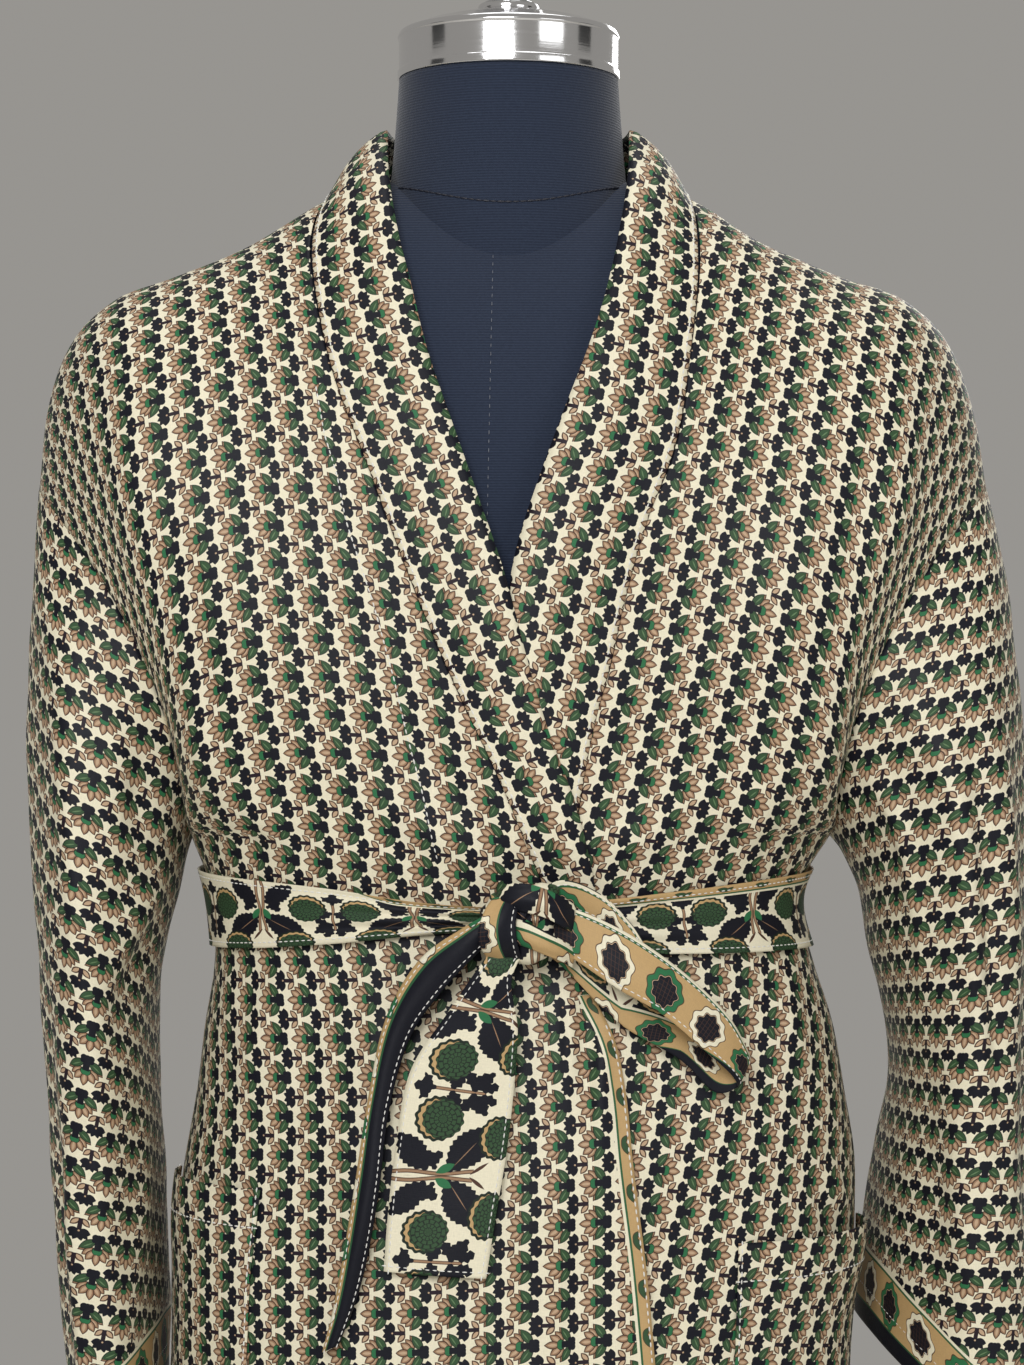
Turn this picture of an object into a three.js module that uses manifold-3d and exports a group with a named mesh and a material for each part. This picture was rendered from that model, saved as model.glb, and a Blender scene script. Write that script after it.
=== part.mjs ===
// A kimono robe with a shawl collar and a tied belt, worn by a limbless dress form on a stand.
// Millimetres, +Z up. The front faces -Y, and the origin is the middle of the stand's underside.
// Left and right are the wearer's, so the right side lies at -X. The right front laps over the left.
import * as THREE from "three";
import { mergeVertices } from "three/addons/utils/BufferGeometryUtils.js";
import Module from "manifold-3d";

// Walls and gaps
const CLOTH = 1.2; // one layer of the robe's cloth, with its turned edges
const BAND = 2; // the collar, which is two layers
const BELT = 1.6; // the belt, which is two layers
const SEAM = 0.3; // gap between two pieces that are sewn edge to edge
const LYING = 0.8; // gap between two layers that lie on each other
const SLEEVE_SEAM = 0.35; // gap between a sleeve and its armhole
const COLLAR_SEAM = 0.4; // gap between the collar and its seam line
const NEAR_KNOT = 0.4; // gap between the knot and the lengths that leave it

// Heights above the floor
const HEM = 230;
const UNDERARM = 1083;
const FORM_BOTTOM = 760;
const NECK_TOP = 1518;

// The robe's inner face, level by level from the hem to the underarm.
// mid is the level's middle across, half its half width, power how square its corners are.
const ROBE_RINGS = [
  { z: 230, mid: 2, half: 224, front: 152, back: 144, power: 2.2 },
  { z: 400, mid: 2, half: 215, front: 147, back: 139, power: 2.2 },
  { z: 600, mid: 2, half: 204, front: 141, back: 133, power: 2.25 },
  { z: 773, mid: 1, half: 194, front: 134, back: 127, power: 2.3 },
  { z: 850, mid: 4, half: 195, front: 130, back: 124, power: 2.35 },
  { z: 890, mid: 6, half: 193, front: 128, back: 122, power: 2.35 },
  { z: 930, mid: 7, half: 187, front: 125, back: 119, power: 2.35 },
  { z: 970, mid: 6, half: 181, front: 120, back: 115, power: 2.35 },
  { z: 1010, mid: 3, half: 172, front: 114, back: 110, power: 2.35 },
  { z: 1045, mid: -2, half: 168, front: 111, back: 108, power: 2.35 },
  { z: 1083, mid: 1, half: 184, front: 120, back: 113, power: 2.35 },
];

// The ridge from the middle of the neck over the shoulder to the top of the armhole.
// at runs from 0 at the middle to 1 at the armhole, right and left are the distances out on each side.
const ROBE_RIDGE = [
  { at: 0, right: 0, left: 0, z: 1462 },
  { at: 0.3, right: 76, left: 76, z: 1458 },
  { at: 0.42, right: 107, left: 107, z: 1446 },
  { at: 0.55, right: 150, left: 150, z: 1421 },
  { at: 0.68, right: 195, left: 195, z: 1402 },
  { at: 0.78, right: 229, left: 229, z: 1389 },
  { at: 0.86, right: 251, left: 251, z: 1367 },
  { at: 0.93, right: 265, left: 267, z: 1331 },
  { at: 1, right: 271, left: 276, z: 1281 },
];
const NECK_AT = 0.41; // where the neck seam crosses the ridge
const NECK_DIP = 0.4; // how far the neck seam drops down the back, as a share of the way to the ridge

const ROBE = {
  rings: ROBE_RINGS,
  ridge: ROBE_RIDGE,
  gape: 74, // half the armhole's width from front to back
  drift: 2.1, // how late the sheet moves outwards on its way up to the ridge
  swell: { front: 0.05, back: 0.03 },
  squareness: { side: 2.3, back: 3.2 },
};

// Folds of the skirt. around is in quarter turns from the middle of the front, positive towards +X;
// half is half a fold's width in quarter turns, rise its height at the hem, top where it dies out.
const FOLDS = [
  { around: -0.83, half: 0.1, rise: 9, top: 760 },
  { around: -0.56, half: 0.13, rise: 13, top: 880 },
  { around: -0.27, half: 0.11, rise: 9, top: 800 },
  { around: 0.06, half: 0.1, rise: 12, top: 950 },
  { around: 0.42, half: 0.12, rise: 12, top: 860 },
  { around: 0.72, half: 0.11, rise: 10, top: 800 },
  { around: 1.2, half: 0.12, rise: 12, top: 900 },
  { around: 1.48, half: 0.1, rise: 9, top: 960 },
  { around: 1.78, half: 0.14, rise: 14, top: 930 },
  { around: 2.12, half: 0.11, rise: 10, top: 980 },
  { around: 2.42, half: 0.13, rise: 13, top: 900 },
  { around: 2.72, half: 0.1, rise: 9, top: 860 },
];
const FOLD_GROWTH = 420; // a fold reaches its full height this far below its top

// The front edge of each front: the collar seam from the ridge down to the belt, the open edge below.
const OVER_EDGE = [
  { z: 230, x: 104 },
  { z: 500, x: 94 },
  { z: 800, x: 78 },
  { z: 858, x: 73 },
  { z: 908, x: 67 },
  { z: 948, x: 63 },
  { z: 975, x: 57 },
  { z: 995, x: 47.5 },
  { z: 1015, x: 38 },
  { z: 1045, x: 25 },
  { z: 1070, x: 14 },
  { z: 1096, x: 3.5 },
  { z: 1126, x: -9.5 },
  { z: 1158, x: -25 },
  { z: 1205, x: -45.5 },
  { z: 1263, x: -68 },
  { z: 1290, x: -78 },
  { z: 1320, x: -90 },
  { z: 1343, x: -98 },
  { z: 1366, x: -104 },
  { z: 1390, x: -109 },
  { z: 1413, x: -112 },
  { z: 1430, x: -110.5 },
  { z: 1447, x: -104.4 },
];
const UNDER_EDGE = [
  { z: 230, x: -100 },
  { z: 500, x: -92 },
  { z: 800, x: -76 },
  { z: 858, x: -70 },
  { z: 948, x: -57 },
  { z: 975, x: -50 },
  { z: 992, x: -40 },
  { z: 1005, x: -24 },
  { z: 1030, x: 0 },
  { z: 1060, x: 22 },
  { z: 1092, x: 37 },
  { z: 1115, x: 41 },
  { z: 1146, x: 47 },
  { z: 1177, x: 55.5 },
  { z: 1215, x: 64 },
  { z: 1269, x: 80.5 },
  { z: 1284, x: 87 },
  { z: 1311, x: 95 },
  { z: 1345, x: 100 },
  { z: 1370, x: 104 },
  { z: 1412, x: 108 },
  { z: 1430, x: 107.5 },
  { z: 1447, x: 104.4 },
];

// The collar's free edge, where it rolls. Each row belongs to the place on the seam at height z.
// stand is 0 where the collar lies on the front and 1 where it stands up round the neck.
const OVER_ROLL = [
  { z: 995, x: 51, y: 0, up: 996, stand: 0 },
  { z: 1015, x: 50, y: 0, up: 1021, stand: 0 },
  { z: 1045, x: 48, y: 0, up: 1052, stand: 0 },
  { z: 1070, x: 43.5, y: 0, up: 1076, stand: 0 },
  { z: 1096, x: 35.5, y: 0, up: 1107, stand: 0 },
  { z: 1126, x: 23.5, y: 0, up: 1137, stand: 0 },
  { z: 1168, x: 9, y: 0, up: 1186, stand: 0 },
  { z: 1209, x: -1.5, y: 0, up: 1227, stand: 0 },
  { z: 1250, x: -15.5, y: 0, up: 1268, stand: 0 },
  { z: 1291, x: -29, y: 0, up: 1307, stand: 0 },
  { z: 1338, x: -44.5, y: -95, up: 1352, stand: 0 },
  { z: 1385, x: -55, y: -82, up: 1395, stand: 0.35 },
  { z: 1413, x: -63, y: -64, up: 1428, stand: 0.8 },
  { z: 1430, x: -68, y: -37, up: 1459, stand: 1 },
  { z: 1447, x: -70, y: 6, up: 1490, stand: 1 },
];
const UNDER_ROLL = [
  { z: 992, x: -43, y: 0, up: 994, stand: 0 },
  { z: 1005, x: -34, y: 0, up: 1010, stand: 0 },
  { z: 1030, x: -22, y: 0, up: 1037, stand: 0 },
  { z: 1060, x: -12, y: 0, up: 1069, stand: 0 },
  { z: 1092, x: -6, y: 0, up: 1104, stand: 0 },
  { z: 1115, x: -5, y: 0, up: 1130, stand: 0 },
  { z: 1146, x: -4, y: 0, up: 1163, stand: 0 },
  { z: 1177, x: -1.5, y: 0, up: 1196, stand: 0 },
  { z: 1215, x: 2, y: 0, up: 1233, stand: 0 },
  { z: 1269, x: 18.5, y: 0, up: 1286, stand: 0 },
  { z: 1311, x: 34, y: 0, up: 1328, stand: 0 },
  { z: 1345, x: 45, y: -93, up: 1357, stand: 0 },
  { z: 1385, x: 56, y: -82, up: 1394, stand: 0.35 },
  { z: 1412, x: 63, y: -64, up: 1427, stand: 0.8 },
  { z: 1430, x: 68, y: -37, up: 1459, stand: 1 },
  { z: 1447, x: 70, y: 6, up: 1490, stand: 1 },
];
// The collar's free edge round the neck: y and height behind the neck, x, y and height at the neck's sides.
const NAPE = { back: 86, up: 1486, side: 70, front: 6, sideUp: 1490 };
const STAND_GAP = 1.7; // how far above the panels' inner face the standing collar starts
const COLLAR_BULGE = 3; // how far the standing collar rounds outwards
const COLLAR_RISES = 1400; // the rounding starts at this height and is whole at the next one
const COLLAR_STANDS = 1450;

// How far the left front reaches under the right one, so where the right one is lifted off the form.
const UNDER_REACH = [
  { z: 230, x: -100 },
  { z: 500, x: -92 },
  { z: 800, x: -76 },
  { z: 948, x: -57 },
  { z: 994, x: -43 },
  { z: 1037, x: -22 },
  { z: 1069, x: -12 },
  { z: 1104, x: -6 },
  { z: 1196, x: -1.5 },
  { z: 1233, x: 2 },
  { z: 1286, x: 18 },
  { z: 1460, x: 60 },
];
const LIFT = BAND + LYING;
const LIFT_RAMP = 34; // width over which the right front rises onto the left one
const LOOSE = 4; // how much further apart the two fronts hang near the hem
const COLUMN_SHIFT = 0.12; // how much closer the fronts' columns stand near the front edge

// Sections of each hanging sleeve below its armhole. x is the distance out from the middle plane;
// o is the outer edge, i the inner edge, f the front, b the back.
const RIGHT_SLEEVE = [
  { xo: 273.5, yo: 0, zo: 1243, xi: 188, yi: 0, zi: 1068, xf: 223, yf: -84, xb: 222, yb: 82 },
  { xo: 274, yo: 0, zo: 1190, xi: 193, yi: 0, zi: 1045, xf: 229, yf: -90, xb: 228, yb: 86 },
  { xo: 273, yo: 0, zo: 1120, xi: 200, yi: 0, zi: 1018, xf: 233, yf: -93, xb: 231, yb: 88 },
  { xo: 270, yo: -5, zo: 1045, xi: 205, yi: 5, zi: 985, xf: 234, yf: -93, xb: 230, yb: 86 },
  { xo: 266, yo: -10, zo: 965, xi: 204, yi: 10, zi: 930, xf: 232, yf: -91, xb: 228, yb: 84 },
  { xo: 261, yo: -15, zo: 890, xi: 202, yi: 15, zi: 870, xf: 229, yf: -89, xb: 224, yb: 82 },
  { xo: 255, yo: -20, zo: 815, xi: 200.5, yi: 20, zi: 822, xf: 225, yf: -87, xb: 220, yb: 80 },
  { xo: 250, yo: -20, zo: 762, xi: 200, yi: 20, zi: 790, xf: 222, yf: -86, xb: 218, yb: 78 },
  { xo: 247, yo: -20, zo: 715, xi: 200, yi: 20, zi: 762, xf: 220, yf: -85, xb: 216, yb: 78 },
];
const LEFT_SLEEVE = [
  { xo: 285, yo: 0, zo: 1243, xi: 195, yi: 0, zi: 1070, xf: 232, yf: -85, xb: 230, yb: 82 },
  { xo: 291, yo: 0, zo: 1190, xi: 204, yi: 0, zi: 1048, xf: 245, yf: -91, xb: 238, yb: 85 },
  { xo: 295, yo: 0, zo: 1120, xi: 209, yi: 0, zi: 1018, xf: 253, yf: -94, xb: 243, yb: 86 },
  { xo: 297, yo: -5, zo: 1045, xi: 218, yi: 5, zi: 985, xf: 258, yf: -94, xb: 246, yb: 84 },
  { xo: 299, yo: -10, zo: 965, xi: 224, yi: 20, zi: 942, xf: 262, yf: -92, xb: 247, yb: 80 },
  { xo: 300, yo: -15, zo: 890, xi: 217, yi: 32, zi: 895, xf: 265, yf: -90, xb: 240, yb: 78 },
  { xo: 301, yo: -20, zo: 815, xi: 210, yi: 42, zi: 852, xf: 268, yf: -88, xb: 233, yb: 76 },
  { xo: 301, yo: -25, zo: 760, xi: 206, yi: 46, zi: 824, xf: 269, yf: -87, xb: 229, yb: 75 },
  { xo: 300, yo: -28, zo: 712, xi: 204, yi: 48, zi: 800, xf: 269, yf: -86, xb: 227, yb: 75 },
];
const SLEEVE_AWAY = { out: 0.92, up: -0.39 }; // the way a sleeve leaves its armhole

// The belt's edges round the waist, with around as for the folds, from the knot by the right side and
// the back to the knot again. out is the gap between the belt and the robe's inner face.
const BELT_ROWS = [
  { around: -3.96, top: 1050, bottom: 1028, out: 7.8 },
  { around: -3.75, top: 1050, bottom: 1022, out: 6.8 },
  { around: -3.5, top: 1055, bottom: 1020, out: 4.8 },
  { around: -3.25, top: 1060, bottom: 1019, out: 3.4 },
  { around: -3, top: 1062, bottom: 1018, out: 3 },
  { around: -2, top: 1064, bottom: 1016, out: 3 },
  { around: -1, top: 1062, bottom: 1018, out: 3 },
  { around: -0.75, top: 1060, bottom: 1020, out: 3.4 },
  { around: -0.5, top: 1056, bottom: 1025, out: 4.8 },
  { around: -0.25, top: 1049, bottom: 1031, out: 6.8 },
  { around: -0.01, top: 1046, bottom: 1034, out: 7.8 },
];
const BELT_STEPS = 72;
const WAIST_FLATNESS = 1.6; // how much more the belt's normals point forwards than on a round waist

// The knot, and the belt's loose lengths in front of the robe. Each row is a line across a length,
// from edge a to edge b; out is how far it hangs in front of the robe's inner face.
// roundness is 1 for an egg and less for a block; the lobes are bulges round it.
const KNOT = {
  x: 8,
  z: 1040,
  out: 21.1,
  half: { x: 20, y: 12.5, z: 20 },
  roundness: 0.8,
  flatBack: 0.9,
  lobes: { count: 3, size: 0.16, turn: 0.6 },
};
const LOOP = [
  { ax: 14, az: 1046, bx: 14, bz: 1028, out: 22 },
  { ax: 30, az: 1048, bx: 30, bz: 1023, out: 24 },
  { ax: 61, az: 1035, bx: 59, bz: 1004, out: 28 },
  { ax: 93, az: 1013, bx: 83, bz: 990, out: 30 },
  { ax: 118, az: 989, bx: 105, bz: 971, out: 28 },
  { ax: 129, az: 970, bx: 121, bz: 956, out: 23 },
  { ax: 131, az: 962, bx: 124, bz: 948, out: 16.5 },
  { ax: 121, az: 968, bx: 112, bz: 946, out: 11.5 },
  { ax: 100, az: 988, bx: 93, bz: 964, out: 10.5 },
  { ax: 66, az: 1012, bx: 60, bz: 984, out: 11.5 },
  { ax: 34, az: 1034, bx: 30, bz: 1014, out: 13 },
  { ax: 16, az: 1040, bx: 14, bz: 1026, out: 15 },
];
const BACK_BAND = [
  { ax: 12, az: 1054, bx: 16, bz: 1042, out: 17.5 },
  { ax: 30, az: 1062, bx: 34, bz: 1044, out: 17 },
  { ax: 50, az: 1054, bx: 50, bz: 1038, out: 15.5 },
  { ax: 66, az: 1038, bx: 62, bz: 1026, out: 16 },
  { ax: 73, az: 1028, bx: 67, bz: 1018, out: 18 },
];
const WIDE_TAIL = [
  { ax: -1, az: 1034, bx: 14, bz: 1032, out: 25 },
  { ax: -14, az: 1018, bx: 2, bz: 1010, out: 27 },
  { ax: -33, az: 990, bx: 5, bz: 982, out: 20 },
  { ax: -53, az: 958, bx: 3, bz: 950, out: 14 },
  { ax: -61, az: 916, bx: -1, bz: 915, out: 11 },
  { ax: -65, az: 880, bx: -7, bz: 880, out: 11 },
  { ax: -67, az: 851, bx: -12, bz: 848, out: 12 },
];
const NARROW_TAIL = [
  { ax: -2, az: 1048, bx: -2, bz: 1038, out: 24 },
  { ax: -24, az: 1036, bx: -20, bz: 1020, out: 25 },
  { ax: -48, az: 1018, bx: -38, bz: 1000, out: 20 },
  { ax: -66, az: 986, bx: -54, bz: 976, out: 16 },
  { ax: -75, az: 945, bx: -65, bz: 938, out: 15 },
  { ax: -82, az: 900, bx: -70, bz: 898, out: 15 },
  { ax: -88, az: 862, bx: -76, bz: 862, out: 15 },
  { ax: -94, az: 830, bx: -82, bz: 838, out: 14 },
  { ax: -100, az: 806, bx: -92, bz: 812, out: 13 },
];

// Patch pockets, as places on their fronts: around from the inner edge to the one by the side seam.
const POCKET_DEPTH = 190;
const RIGHT_POCKET = { inner: -0.62, side: -0.985, top: 889 };
const LEFT_POCKET = { inner: 0.53, side: 0.985, top: 862 };
const POCKET_GAPE = 1.5; // how far a pocket's mouth stands off its front
const POCKET_COLUMNS = 9;
const ROW_APART = 8; // least distance between a pocket's own edges and the fronts' rows

// The dress form
const FORM_RINGS = [
  { z: 760, mid: 0, half: 166, front: 112, back: 106, power: 2.3 },
  { z: 850, mid: 0, half: 170, front: 112, back: 108, power: 2.3 },
  { z: 950, mid: 0, half: 160, front: 104, back: 102, power: 2.3 },
  { z: 1045, mid: 0, half: 152, front: 99, back: 98, power: 2.3 },
  { z: 1083, mid: 0, half: 158, front: 108, back: 104, power: 2.3 },
];
const RIDGE_GAP = 1.5; // between the form's shoulders and the robe's inner face
const FORM_RIDGE = [
  { at: 0, right: 0, left: 0, z: 1462 - RIDGE_GAP },
  { at: 0.33, right: 76, left: 76, z: 1458 - RIDGE_GAP },
  { at: 0.47, right: 107, left: 107, z: 1445 - RIDGE_GAP },
  { at: 0.66, right: 150, left: 150, z: 1421 - RIDGE_GAP },
  { at: 0.85, right: 195, left: 195, z: 1402 - RIDGE_GAP },
  { at: 0.95, right: 217, left: 217, z: 1391 - RIDGE_GAP },
  { at: 1, right: 224, left: 224, z: 1377 },
];
const FORM = {
  rings: FORM_RINGS,
  ridge: FORM_RIDGE,
  gape: 52,
  drift: 1.5,
  swell: { front: 0.05, back: 0.03 },
  squareness: { side: 2.3, back: 3.2 },
};
const FORM_HEIGHTS = [760, 800, 850, 900, 950, 1000, 1045];
const FORM_COLUMNS = 16;
const FORM_LAST = 0.96; // share of the way up at which the shoulders' last ring lies
const PLATE_BULGE = 1 / 14; // an arm plate's bulge as a share of its width

// The form's neck: half its width and half its depth at each height.
const NECK = [
  { z: 1400, radius: 72, deep: 64 },
  { z: 1440, radius: 71, deep: 64 },
  { z: 1462, radius: 68, deep: 63 },
  { z: 1490, radius: 65.5, deep: 62.5 },
  { z: NECK_TOP, radius: 63.5, deep: 62.5 },
];
const NECK_HEIGHTS = [1400, 1440, 1462, 1476, 1490, 1504, NECK_TOP];
const NECK_SEGMENTS = 32;
const CAP_RADIUS = 64.5;
const CAP_HEIGHT = 28;
const KNOB_RADIUS = 24;
const POLE_RADIUS = 17.5;
const BASE_RADIUS = 215;
const HUB_TOP = 66;

const wasm = await Module();
wasm.setup();

const { clamp, lerp, smoothstep } = THREE.MathUtils;
const QUARTER = Math.PI / 2;
const point = (x, y, z) => new THREE.Vector3(x, y, z);

// One column of a table at a place along it, on a smooth curve through the rows.
function column(rows, by, name, at) {
  const place = clamp(at, rows[0][by], rows.at(-1)[by]);
  let k = 0;
  while (k < rows.length - 2 && rows[k + 1][by] <= place) k++;
  const run = (i) => rows[i + 1][by] - rows[i][by];
  const chord = (i) => (rows[i + 1][name] - rows[i][name]) / run(i);
  const slope = (i) => {
    if (i === 0) return chord(0);
    if (i === rows.length - 1) return chord(i - 1);
    return (chord(i - 1) * run(i) + chord(i) * run(i - 1)) / (run(i - 1) + run(i));
  };
  const h = run(k);
  const t = (place - rows[k][by]) / h;
  const s = 1 - t;
  return (
    (1 + 2 * t) * s * s * rows[k][name] +
    t * s * s * h * slope(k) +
    t * t * (3 - 2 * t) * rows[k + 1][name] -
    t * t * s * h * slope(k + 1)
  );
}

function foldHeight(around, z) {
  let height = 0;
  for (const fold of FOLDS) {
    const off = ((((around - fold.around + 2) % 4) + 4) % 4) - 2;
    if (Math.abs(off) >= fold.half) continue;
    const growth = smoothstep(fold.top - z, 0, FOLD_GROWTH);
    height += fold.rise * growth * Math.cos((off / fold.half) * QUARTER) ** 2;
  }
  return height;
}

// A point of a body at a height below the underarm. around counts quarter turns from the front.
function ringPoint(body, z, around) {
  const s = Math.sin(around * QUARTER);
  const c = Math.cos(around * QUARTER);
  const read = (name) => column(body.rings, "z", name, z);
  const depth = read(c > 0 ? "front" : "back");
  const power = read("power");
  const corner = Math.abs(s / read("half")) ** power + Math.abs(c / depth) ** power;
  const reach = corner ** (-1 / power) + (body === ROBE ? foldHeight(around, z) : 0);
  return point(read("mid") + reach * s, -reach * c, z);
}

// A point of a body's front or back sheet. u runs from -1 at the right side to 1 at the left one.
// level is 0 at the underarm, 1 at the shoulder ridge, and below 0 millimetres down from the underarm.
function sheetPoint(body, face, u, level) {
  const around = face === "front" ? u : (u < 0 ? -2 : 2) - u;
  if (level <= 0) return ringPoint(body, UNDERARM + level, around);
  const foot = ringPoint(body, UNDERARM, around);
  const side = u < 0 ? -1 : 1;
  const out = Math.abs(u);
  const ridgeX = side * column(body.ridge, "at", side < 0 ? "right" : "left", out);
  const ridgeZ = column(body.ridge, "at", "z", out);
  const { side: bySide, back: byBack } = body.squareness;
  const power = face === "front" ? bySide : lerp(byBack, bySide, smoothstep(out, 0, 0.6));
  const s = Math.sin(level * QUARTER);
  const c = Math.cos(level * QUARTER);
  const reach = (s ** power + c ** power) ** (-1 / power);
  const rise = Math.min(reach * s, 1);
  const swell = 1 + body.swell[face] * Math.sin(Math.PI * rise);
  const gape = 2 * body.gape * Math.sqrt(rise * (1 - rise)) * Math.abs(Math.sin(u * QUARTER)) ** 6;
  return point(
    lerp(foot.x, ridgeX, rise ** body.drift),
    foot.y * reach * c * swell + (face === "front" ? -gape : gape),
    lerp(foot.z, ridgeZ, rise),
  );
}

function sheetNormal(body, face, u, level) {
  const du = 1e-3;
  const dl = level <= 0 ? -0.5 : -1e-3;
  const across = sheetPoint(body, face, Math.min(u + du, 1), level).sub(
    sheetPoint(body, face, Math.max(u - du, -1), level),
  );
  const up = sheetPoint(body, face, u, level).sub(sheetPoint(body, face, u, level + dl));
  const normal = across.cross(up).normalize();
  return face === "front" ? normal : normal.negate();
}

// The u at which a row of the front crosses a line given by its x at each height.
function crossing(line, level) {
  let low = -1;
  let high = 1;
  for (let i = 0; i < 40; i++) {
    const u = (low + high) / 2;
    const p = sheetPoint(ROBE, "front", u, level);
    if (p.x < column(line, "z", "x", p.z)) low = u;
    else high = u;
  }
  return (low + high) / 2;
}

// The place on the front sheet that is seen at x and z from the front.
function locate(x, z) {
  let u = clamp(x / 200, -1, 1);
  let level = z - UNDERARM;
  for (let turn = 0; turn < 14; turn++) {
    if (z > UNDERARM) {
      let low = 0;
      let high = 1;
      for (let i = 0; i < 30; i++) {
        level = (low + high) / 2;
        if (sheetPoint(ROBE, "front", u, level).z < z) low = level;
        else high = level;
      }
    }
    let left = -1;
    let right = 1;
    for (let i = 0; i < 30; i++) {
      u = (left + right) / 2;
      if (sheetPoint(ROBE, "front", u, level).x < x) left = u;
      else right = u;
    }
  }
  return { u, level };
}

// How far the right front is lifted by what lies under it.
function lapLift(p) {
  const past = p.x - column(UNDER_REACH, "z", "x", p.z);
  const loose = LOOSE * smoothstep(UNDERARM - p.z, 60, 380);
  return (LIFT + loose) * smoothstep(past, -LIFT_RAMP - 4, -4);
}

// A wall from rows of { inner, outer } points. A closed wall joins the ends of each row.
function wallGeometry(rows, closed = false) {
  const count = rows[0].length;
  const positions = [];
  const faces = [];
  for (const row of rows) {
    for (const { inner, outer } of row) positions.push(...inner, ...outer);
  }
  const at = (i, j, side) => 2 * (i * count + (j % count)) + side;
  const quad = (a, b, c, d) => faces.push(a, b, c, a, c, d);
  const steps = closed ? count : count - 1;
  for (let i = 0; i + 1 < rows.length; i++) {
    for (let j = 0; j < steps; j++) {
      quad(at(i, j, 1), at(i, j + 1, 1), at(i + 1, j + 1, 1), at(i + 1, j, 1));
      quad(at(i, j, 0), at(i + 1, j, 0), at(i + 1, j + 1, 0), at(i, j + 1, 0));
    }
  }
  const last = rows.length - 1;
  for (let j = 0; j < steps; j++) {
    quad(at(0, j, 0), at(0, j + 1, 0), at(0, j + 1, 1), at(0, j, 1));
    quad(at(last, j, 1), at(last, j + 1, 1), at(last, j + 1, 0), at(last, j, 0));
  }
  for (let i = 0; i < last && !closed; i++) {
    quad(at(i, 0, 0), at(i, 0, 1), at(i + 1, 0, 1), at(i + 1, 0, 0));
    quad(at(i, count - 1, 1), at(i, count - 1, 0), at(i + 1, count - 1, 0), at(i + 1, count - 1, 1));
  }
  return outwards(positions, faces);
}

// A geometry from points and faces, turned so that its faces point out.
function outwards(positions, faces) {
  const corner = (k) => new THREE.Vector3().fromArray(positions, 3 * faces[k]);
  let volume = 0;
  for (let f = 0; f < faces.length; f += 3) {
    volume += corner(f).dot(corner(f + 1).cross(corner(f + 2)));
  }
  const index = volume < 0 ? faces.toReversed() : faces;
  const geometry = new THREE.BufferGeometry();
  geometry.setAttribute("position", new THREE.Float32BufferAttribute(positions, 3));
  geometry.setIndex(index);
  return geometry;
}

function layer(p, normal, from, thickness) {
  return {
    inner: p.clone().addScaledVector(normal, from),
    outer: p.clone().addScaledVector(normal, from + thickness),
  };
}

// Levels of the panels' rows: heights below the underarm, then shares of the way up to the ridge.
const SKIRT_HEIGHTS = [
  HEM, 330, 430, 530, 630, 710, 780, 835, 880, 915, 950, 975, 995, 1020, 1045, 1064,
];
const SKIRT_LEVELS = SKIRT_HEIGHTS.map((z) => z - UNDERARM);
const SHOULDER_LEVELS = [0, 0.05, 0.13, 0.22, 0.32, 0.42, 0.52, 0.62, 0.71, 0.8, 0.9, 1];
const LEVELS = [...SKIRT_LEVELS, ...SHOULDER_LEVELS];
const FRONT_COLUMNS = 18;
const BAND_COLUMNS = 4;

// One point of a panel's wall, moved off the middle plane by half a seam's gap.
function panelPoint(face, u, level, from = 0, thickness = CLOTH) {
  const p = sheetPoint(ROBE, face, u, level);
  const normal = sheetNormal(ROBE, face, u, level);
  p.y += face === "front" ? -SEAM / 2 : SEAM / 2;
  return layer(p, normal, from, thickness);
}

// A front, from its side seam at u = side to its front edge.
function frontRows(side, edge, lifted) {
  return LEVELS.map((level) => {
    const end = crossing(edge, level);
    const row = [];
    for (let j = 0; j <= FRONT_COLUMNS; j++) {
      const share = j / FRONT_COLUMNS;
      const shift = COLUMN_SHIFT * Math.sin(Math.PI * share) * (1 - share);
      const u = lerp(side, end, share + shift);
      const lift = lifted ? lapLift(sheetPoint(ROBE, "front", u, level)) : 0;
      row.push(panelPoint("front", u, level, lift));
    }
    return row;
  });
}

// The back's columns: even over the shoulders, and closing up where the neck seam turns.
const NECK_TURNS = [-1, -0.8, -0.55, -0.28, 0, 0.28, 0.55, 0.8, 1];
const SHOULDER_COLUMNS = [-1, -0.93, -0.86, -0.78, -0.7, -0.61, -0.52];
const BACK_COLUMNS = [
  ...SHOULDER_COLUMNS.map((u) => ({ u, top: 1 })),
  ...NECK_TURNS.map((turn) => ({
    u: NECK_AT * Math.sin(turn * QUARTER),
    top: 1 - NECK_DIP * Math.cos(turn * QUARTER),
    turn,
  })),
  ...SHOULDER_COLUMNS.toReversed().map((u) => ({ u: -u, top: 1 })),
];

function backRows() {
  return LEVELS.map((level) =>
    BACK_COLUMNS.map(({ u, top }) => panelPoint("back", u, level > 0 ? level * top : level)),
  );
}

// One row across the collar, from just off its seam to its free edge.
function collarRow(seam, roll, stand, onBody = (straight) => straight) {
  const gap = (COLLAR_SEAM + STAND_GAP * stand) / seam.distanceTo(roll);
  const row = [];
  for (let j = 0; j <= BAND_COLUMNS; j++) {
    const share = lerp(gap, 1, j / BAND_COLUMNS);
    row.push(onBody(seam.clone().lerp(roll, share), share));
  }
  return row;
}

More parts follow.
